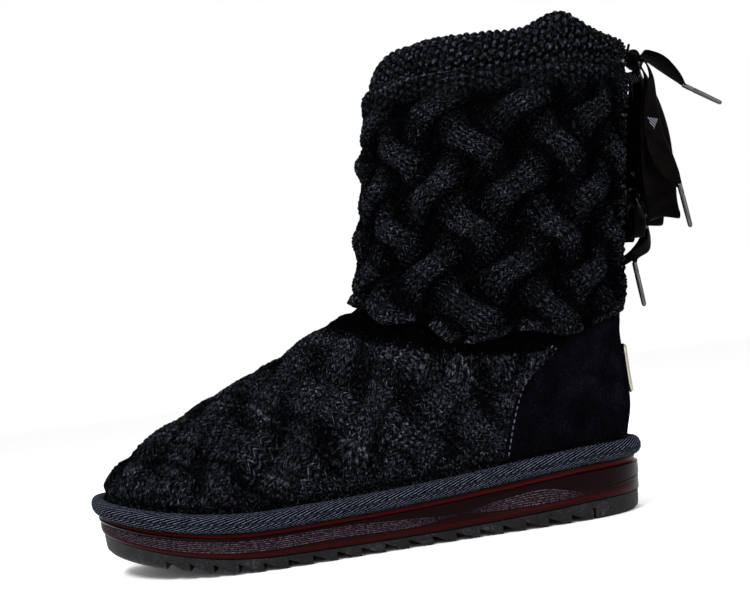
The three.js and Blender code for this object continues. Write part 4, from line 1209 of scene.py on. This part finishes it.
def make_collar():
    """A cuff of fine rib knit over the lining's rim, soft and uneven along its top."""
    columns = 400
    seat = 2 * CLEARANCE
    inner = -WALL - seat
    profile = np.array([
        (CREASE_RING + 0.006, seat),
        (CREASE_RING + 0.003, COLLAR_THICKNESS * 0.4),
        (CREASE_RING + 0.012, COLLAR_THICKNESS - 1.8),
        (CREASE_RING + 0.03, COLLAR_THICKNESS - 0.4),
        (CREASE_RING + 0.05, COLLAR_THICKNESS),
        (CREASE_RING + 0.066, COLLAR_THICKNESS - 0.8),
        (COLLAR_TOP_RING - 0.003, COLLAR_THICKNESS - 2.6),
        (COLLAR_TOP_RING, -WALL * 0.5),
        (COLLAR_TOP_RING - 0.003, inner - COLLAR_THICKNESS * 0.4),
        (LINING_TOP_RING, inner - COLLAR_THICKNESS * 0.7),
        (CREASE_RING + 0.03, inner - COLLAR_THICKNESS * 0.65),
        (CREASE_RING + 0.018, inner - 0.6),
    ])
    along = spline(profile, 112)
    ring, depth = along[:, :1], along[:, 1:]
    sweep = np.linspace(0, 1, columns)[None]
    turn = open_turn(ring, slit_half(ring_ends(ring)[1]), np.maximum(depth, -2), sweep)
    base = surface(ring, turn, depth, LEVEL)
    travelled = run_length(base[:, columns // 4])[:, None]
    around = turn / math.pi * SLEEVE_GIRTH
    bumps = rib_bumps(around, travelled)
    ends = np.minimum(smooth(0, 0.01, sweep), smooth(0, 0.01, 1 - sweep))
    soft = uneven(around, travelled, (0.3, 1.6, 11), (0.6, 26, 12), (0.4, 9, 13))
    outward = unit(np.cross(np.gradient(base, axis=1), np.gradient(base, axis=0)))
    middle = surface(LINING_TOP_RING, turn, -WALL * 0.5, LEVEL)
    facing = np.sign(np.mean(np.sum(outward * (base - middle), axis=-1)))
    points = base + facing * outward * ((COLLAR_RELIEF * bumps + soft) * ends)[..., None]
    # The last value paints light on the rib bumps and shade between them.
    piece = grid_piece("collar_rib_knit", points, RIB_KNIT, pair(around, travelled), 0.25 + 0.75 * bumps)
    finish_piece(piece, ["collar"])


make_collar()

# Bands and ribbon at the slit


def shaft_layer(ring, y, depth):
    """A layer of some depth at the back of the shaft, y to the side of the middle."""
    return surface(ring, angle_across(ring, y, depth), depth, LEVEL)


def make_band(side, node):
    """A narrow rib-knit band along the slit, with rungs like a ladder."""
    up, around = grid_places(220, 26, 0)
    ring = lerp(ring_at_back(SLIT_FOOT - BAND_WIDTH * 0.5 + 3.2), CREASE_RING - 0.002, up)
    z = ring_ends(ring)[1]
    profile = np.sin(math.pi * around) ** 0.4
    rung = 0.5 + 0.5 * np.cos(2 * math.pi * z / RUNG_PITCH)
    groove = np.exp(-((around - 0.42) / 0.1) ** 2)
    depth = 1.0 + (BAND_THICKNESS - 1.6) * profile + rung * profile * (1 - groove) - groove
    y = side * (slit_half(z) + BAND_WIDTH * around)
    outer, inner = shaft_layer(ring, y, depth), shaft_layer(ring, y, 0.9)
    outer[..., 1] = y
    inner[..., 1] = y
    uv = pair(there_and_back(around, around) * BAND_WIDTH, z)
    # Painted light on the rungs, and painted shade in the groove and on the inner layer.
    crest_light = there_and_back(0.1 + 0.8 * rung * (1 - groove), 0 * depth)
    piece = grid_piece(f"slit_band_{node}", there_and_back(outer, inner), RIB_KNIT, uv, crest_light,
                       wrap_columns=True, flip=side > 0)
    finish_piece(piece, [f"back_band_{node}"])


def make_slit_foot():
    """The rib knit below the slit, from under the bands' feet down behind the counter's top."""
    up, across = grid_places(60, 90)
    ring = lerp(HEM_RING - 0.03, ring_at_back(SLIT_FOOT) + 0.003, up)
    y = across * (SLIT_HALF_LOW + BAND_WIDTH + 1.5)
    z = ring_ends(ring)[1]
    bumps = rib_bumps(y, z, FINE_RIB_PITCH)
    depth = 0.3 + (1.1 + 0.8 * bumps) * (1 - across ** 10) * smooth(0, 0.03, 1 - up)
    points = there_and_back(shaft_layer(ring, y, depth), shaft_layer(ring, y, 0.2))
    # Painted light on the rib bumps, and painted shade on the inner layer.
    crest_light = there_and_back(0.2 + 0.6 * bumps, 0 * bumps)
    piece = grid_piece("slit_foot_rib_knit", points, RIB_KNIT, pair(there_and_back(y, y), z), crest_light,
                       wrap_columns=True)
    finish_piece(piece, ["upper"])


def make_bar(which, bow):
    """The run of ribbon across the slit, slightly slack and tucked into both bands."""
    up, across = grid_places(26, 34)
    middle = float(height(bow["rise"]))
    ring = lerp(ring_at_back(middle - bow["tall"] / 2), ring_at_back(middle + bow["tall"] / 2), up)
    y = across * (slit_half(middle) + bow["reach"])
    pucker = 0.25 * np.sin(3 * math.pi * up) * np.exp(-(across / 0.5) ** 2)
    rest = bow["over"] + CLEARANCE
    points = there_and_back(shaft_layer(ring, y, rest + BAR_THICKNESS + pucker), shaft_layer(ring, y, rest))
    piece = grid_piece(f"ribbon_bar_{which}_satin", points, RIBBON, pair(ring * 300, there_and_back(y, y)),
                       wrap_columns=True)
    finish_piece(piece, [f"ribbon_bar_{which}"])


make_band(1, "left")
make_band(-1, "right")
make_slit_foot()
make_bar("upper", UPPER_BOW)
make_bar("lower", LOWER_BOW)

# Heel counter, its stitching and the badge


def counter_place(up, across, depth):
    """A point of the counter, from its foot to its top and from one front edge, -1, to the other, 1."""
    ring = lerp(RAND_RING + 0.006, HEM_RING - 0.014, up)
    back_x, _, front_x, _ = ring_ends(ring)
    share = (FOOT_LENGTH * COUNTER.read("edge", ring) - back_x) / (front_x - back_x)
    return surface(ring, across * np.arccos(1 - 2 * share), depth)


def make_counter():
    """The suede counter, with thin edges and a faintly dimpled face."""
    up, across = grid_places(90, 150)
    round_edge = np.minimum(smooth(0, 0.02, 1 - np.abs(across)), smooth(0, 0.03, 1 - up))
    depth = 0.3 + (COUNTER_THICKNESS - 0.1) * (0.25 + 0.75 * round_edge)
    dimple = uneven(across * 60, up * 60, (0.12, 9, 14))
    outer = counter_place(up, across, depth + dimple * round_edge)
    points = np.concatenate([outer, counter_place(up, across, 0.2)[::-1]])
    finish_piece(grid_piece("suede_counter", points, SUEDE, wrap_rows=True), ["heel_counter"])


def make_stitching():
    """Two rows of short stitches along the counter's front edges."""
    points, faces = [], []
    turns = np.linspace(0, 2 * math.pi, 6, endpoint=False)
    swell = np.array([0.15, 0.8, 1.0, 0.8, 0.15])
    for side, inset in ((1, 0.035), (1, 0.075), (-1, 0.035), (-1, 0.075)):
        places = counter_place(np.linspace(0.02, 0.97, 400), side * (1 - inset), COUNTER_THICKNESS + 0.25)
        far = run_length(places)
        for start in np.arange(0.5, far[-1] - 2.4, SEAM_PITCH):
            at = np.linspace(start, start + SEAM_STITCH, len(swell))
            line = np.stack([np.interp(at, far, places[:, k]) for k in range(3)], -1)
            along = unit(line[-1] - line[0])
            level = unit(np.cross(along, (0, 1, 0)))
            other = np.cross(along, level)
            ring = np.cos(turns)[:, None] * level + np.sin(turns)[:, None] * other
            first = len(points)
            for middle, size in zip(line, swell):
                points.extend(middle + ring * THREAD_RADIUS * size)
            for face in grid_faces(len(swell), len(turns), wrap_columns=True):
                faces.append([first + k for k in face])
    piece = mesh_piece("counter_stitching", np.array(points), faces, THREAD)
    finish_piece(piece, ["heel_counter"])


def make_badge():
    """A plain curved plate with a raised rim and rounded corners."""
    up, across = grid_places(34, 26)
    ring = lerp(BADGE_LOW_RING, BADGE_HIGH_RING, up)
    narrow = np.sqrt(1 - np.abs(2 * up - 1) ** 8 * 0.35)
    border = np.minimum((1 - np.abs(across)) * BADGE_WIDTH / 2, np.minimum(up, 1 - up) * BADGE_HEIGHT)
    rim = np.exp(-((border - 1.1) / 0.5) ** 2)
    thick = BADGE_THICKNESS * (0.45 + 0.45 * smooth(-0.1, 0.8, border)) + 0.25 * rim
    turn = angle_beside(ring, across * narrow * BADGE_WIDTH / 2)
    rest = COUNTER_THICKNESS + 0.5
    points = there_and_back(surface(ring, turn, rest + thick), surface(ring, turn, rest))
    piece = grid_piece("badge_plate", points, BADGE, wrap_columns=True, flip=True)
    finish_piece(piece, ["heel_badge"])


make_counter()
make_stitching()
make_badge()

# Rand, midsole and outsole


def sole_turns(columns):
    """Angles all round the plan, closer together at the toe and the heel."""
    share = np.arange(columns) / columns
    along = np.where(share <= 0.5, share * 2, (1 - share) * 2)
    even = np.arccos(np.clip(1 - 2 * along, -1, 1))
    turn = lerp(even, math.pi * along, 0.8)
    return np.where(share <= 0.5, turn, 2 * math.pi - turn)


def make_rand():
    """A flattened cord round the feather line, wrapped in tape with raised slanted threads."""
    columns, around = 520, 24
    share = np.arange(around)[:, None] / around
    twist = 2 * math.pi * share
    x, y = plan_point(sole_turns(columns), RAND_DEPTH * (0.5 - 0.5 * np.cos(twist)))
    points = stack(x, y, sole_top(x) + CLEARANCE + RAND_DIAMETER / 2 * (1 + np.sin(twist)))
    middle = points.mean(axis=0)
    far = run_length(middle)[None]
    across = share * math.pi * RAND_DIAMETER
    ridge = 0.12 * np.sin(2 * math.pi * (across + TWILL_SLANT * far) / TWILL_RIDGE)
    points = points + unit(points - middle[None]) * ridge[..., None]
    piece = grid_piece("taped_rand", points, TAPE, pair(across, far), wrap_rows=True, wrap_columns=True)
    finish_piece(piece, ["rand"])


def make_midsole():
    """A glossy wall with a hollow under the rand, a ledge, a band of fine ribs and a smooth foot."""
    columns, ribs = 420, 6
    turn = sole_turns(columns)
    x, _ = plan_point(turn, 0)
    low, high = SIDE.read("low", along_foot(x)), SIDE.read("high", along_foot(x))
    band = np.clip((high - low) / 0.3, 0, 1)
    levels = [(4.6, 0, 0), (3.9, 0.02, 0), (3.5, np.maximum(0.08, low - 0.05), 0)]
    for i in range(4 * ribs + 1):
        crest_light = 0.5 - 0.5 * math.cos(2 * math.pi * i / 4)
        part = lerp(low, high, i / (4 * ribs))
        # The third value marks the rib crests, where the midsole's colour paints highlights.
        levels.append((3.35 + 0.75 * band * (1 - crest_light), part, band * crest_light ** 1.5))
    levels += [
        (3.0, np.minimum(0.77, high + 0.04), 0),
        (2.75, 0.785, 0),
        (2.65, 0.8, 0),
        (2.85, 0.815, 0),
        (3.7, 0.83, 0),
        (4.1, 0.88, 0),
        (4.1, 0.93, 0),
        (3.4, 0.985, 0),
        (3.9, 1.0, 0),
    ]
    inset, part, raised_and_lit = (np.array([level[k] + 0 * x for level in levels]) for k in range(3))
    x, y = plan_point(turn, inset)
    points = stack(x, y, lerp(outsole_top(x) + CLEARANCE, sole_top(x), part)).reshape(-1, 3)
    uv = pair(np.linspace(0, 600, columns), part).reshape(-1, 2)
    faces = grid_faces(len(levels), columns, wrap_columns=True)
    faces += plan_cap(0, columns, flip=False) + plan_cap((len(levels) - 1) * columns, columns, flip=True)
    piece = mesh_piece("midsole_ribbed", points, faces, MIDSOLE, uv, crest_light=raised_and_lit)
    finish_piece(piece, ["midsole"])


def plan_cap(start, count, flip):
    """Strips across the plan between the two sides of a loop."""
    faces = []
    for j in range(count // 2):
        a, b = start + j, start + j + 1
        c, d = start + (count - j - 1) % count, start + (count - j) % count
        quad = [a, b, c, d] if j > 0 else [a, b, c]
        if b == c:
            quad = [a, b, d]
        faces.append(quad[::-1] if flip else quad)
    return faces


def make_outsole():
    """The toothed sole, lofted along the foot: each station is a slice across it."""
    first_tip = HEEL_BLOCK_LENGTH + SLIT_WIDTH
    last_tip = first_tip + TOOTH_COUNT * TOOTH_PITCH
    stations = []
    eased = 1 - np.cos(np.linspace(0, math.pi / 2, 26))
    for x in lerp(OUTSOLE_INSET, HEEL_BLOCK_LENGTH, eased):
        stations.append((x, 0.0))
    stations += [(HEEL_BLOCK_LENGTH, SLIT_DEPTH), (first_tip, SLIT_DEPTH)]
    for i in range(TOOTH_COUNT):
        tip = first_tip + i * TOOTH_PITCH
        stations += [(tip, spring(tip)), (tip + TOOTH_LAND, spring(tip + TOOTH_LAND))]
        for part in (0.25, 0.5, 0.75, 1.0):
            x = tip + lerp(TOOTH_LAND, TOOTH_PITCH, part)
            stations.append((x, spring(x) + TOOTH_DEPTH * part))
    for part in np.sin(np.linspace(0, math.pi / 2, 44)):
        x = lerp(last_tip, FOOT_LENGTH - OUTSOLE_INSET, part)
        stations.append((x, spring(x)))
    x = np.array([float(s[0]) for s in stations])
    bottom = np.array([float(s[1]) for s in stations])
    top = outsole_top(x)
    levels = np.linspace(0, 1, 7)
    table_height = np.array([0, 0.06, 0.22, 1.0])
    table_inset = np.array([7.2, 6.2, 5.2, OUTSOLE_INSET])
    left, right = [], []
    for level in levels:
        z = lerp(bottom, top, level)
        share_up = np.clip((z - spring(x)) / np.maximum(top - spring(x), 1e-6), 0, 1)
        inset = np.interp(share_up, table_height, table_inset)
        share = np.clip((x - inset) / (FOOT_LENGTH - 2 * inset), 0, 1)
        half = (PLAN.read("half", share) * BALL_WIDTH - inset) * plan_round(share)
        shift = PLAN.read("shift", share) * BALL_WIDTH
        left.append(stack(x, shift + half, z))
        right.append(stack(x, shift - half, z))
    loop = left + right[::-1]
    points = np.array(loop).transpose(1, 0, 2)
    faces = grid_faces(len(stations), len(loop), wrap_columns=True)
    piece = mesh_piece("toothed_outsole", points.reshape(-1, 3), faces, OUTSOLE, smooth_shading=False)
    finish_piece(piece, ["outsole"])


make_rand()
make_midsole()
make_outsole()

# Gusset and insole


def make_gusset():
    """Soft cloth behind the slit, in shallow upright folds between its sewn edges."""
    up, across = grid_places(130, 56)
    ring = lerp(ring_at_back(SLIT_FOOT) - 0.04, LINING_TOP_RING - 0.005, up)
    z = ring_ends(ring)[1]
    y = across * (slit_half(z) + GUSSET_OVERLAP)
    slack = 0.5 + 0.5 * np.sin(2 * math.pi * (y / FOLD_PITCH + uneven(z, y, (0.35, 17, 33))))
    soft = (uneven(z, y, (0.12, 1.6, 34)) - FOLD_DEPTH * slack) * (1 - across ** 8)
    outside = -WALL - 1.25 * CLEARANCE
    points = there_and_back(shaft_layer(ring, y, outside + soft),
                            shaft_layer(ring, y, outside + soft - GUSSET_THICKNESS))
    piece = grid_piece("gusset_cloth", points, GUSSET, wrap_columns=True)
    finish_piece(piece, ["back_gusset"])


def make_insole():
    """A loose felt insole, trodden down a little along its middle, with a soft edge."""
    share = (1 - np.cos(np.linspace(0.03, math.pi - 0.03, 170)))[:, None] / 2
    across = np.linspace(-1, 1, 72)[None]
    inset = FEATHER_INSET + 1.4 * WALL + CLEARANCE
    half = (PLAN.read("half", share) * BALL_WIDTH - inset) * plan_round(share)
    x = inset + share * (FOOT_LENGTH - 2 * inset)
    y = PLAN.read("shift", share) * BALL_WIDTH + half * across
    low = sole_top(x) + CLEARANCE
    edge = np.sqrt(np.maximum(0, 1 - np.abs(across) ** 12))
    trodden = 0.7 * smooth(0, 0.8, 1 - np.abs(across)) + uneven(x, y, (0.15, 5, 31)) * edge
    top = low + INSOLE_THICKNESS * (0.5 + 0.5 * edge) - trodden
    points = there_and_back(stack(x, y, top), stack(x, y, low))
    piece = grid_piece("felt_insole", points, LINING, wrap_columns=True, flip=True)
    finish_piece(piece, ["insole"])


make_gusset()
make_insole()
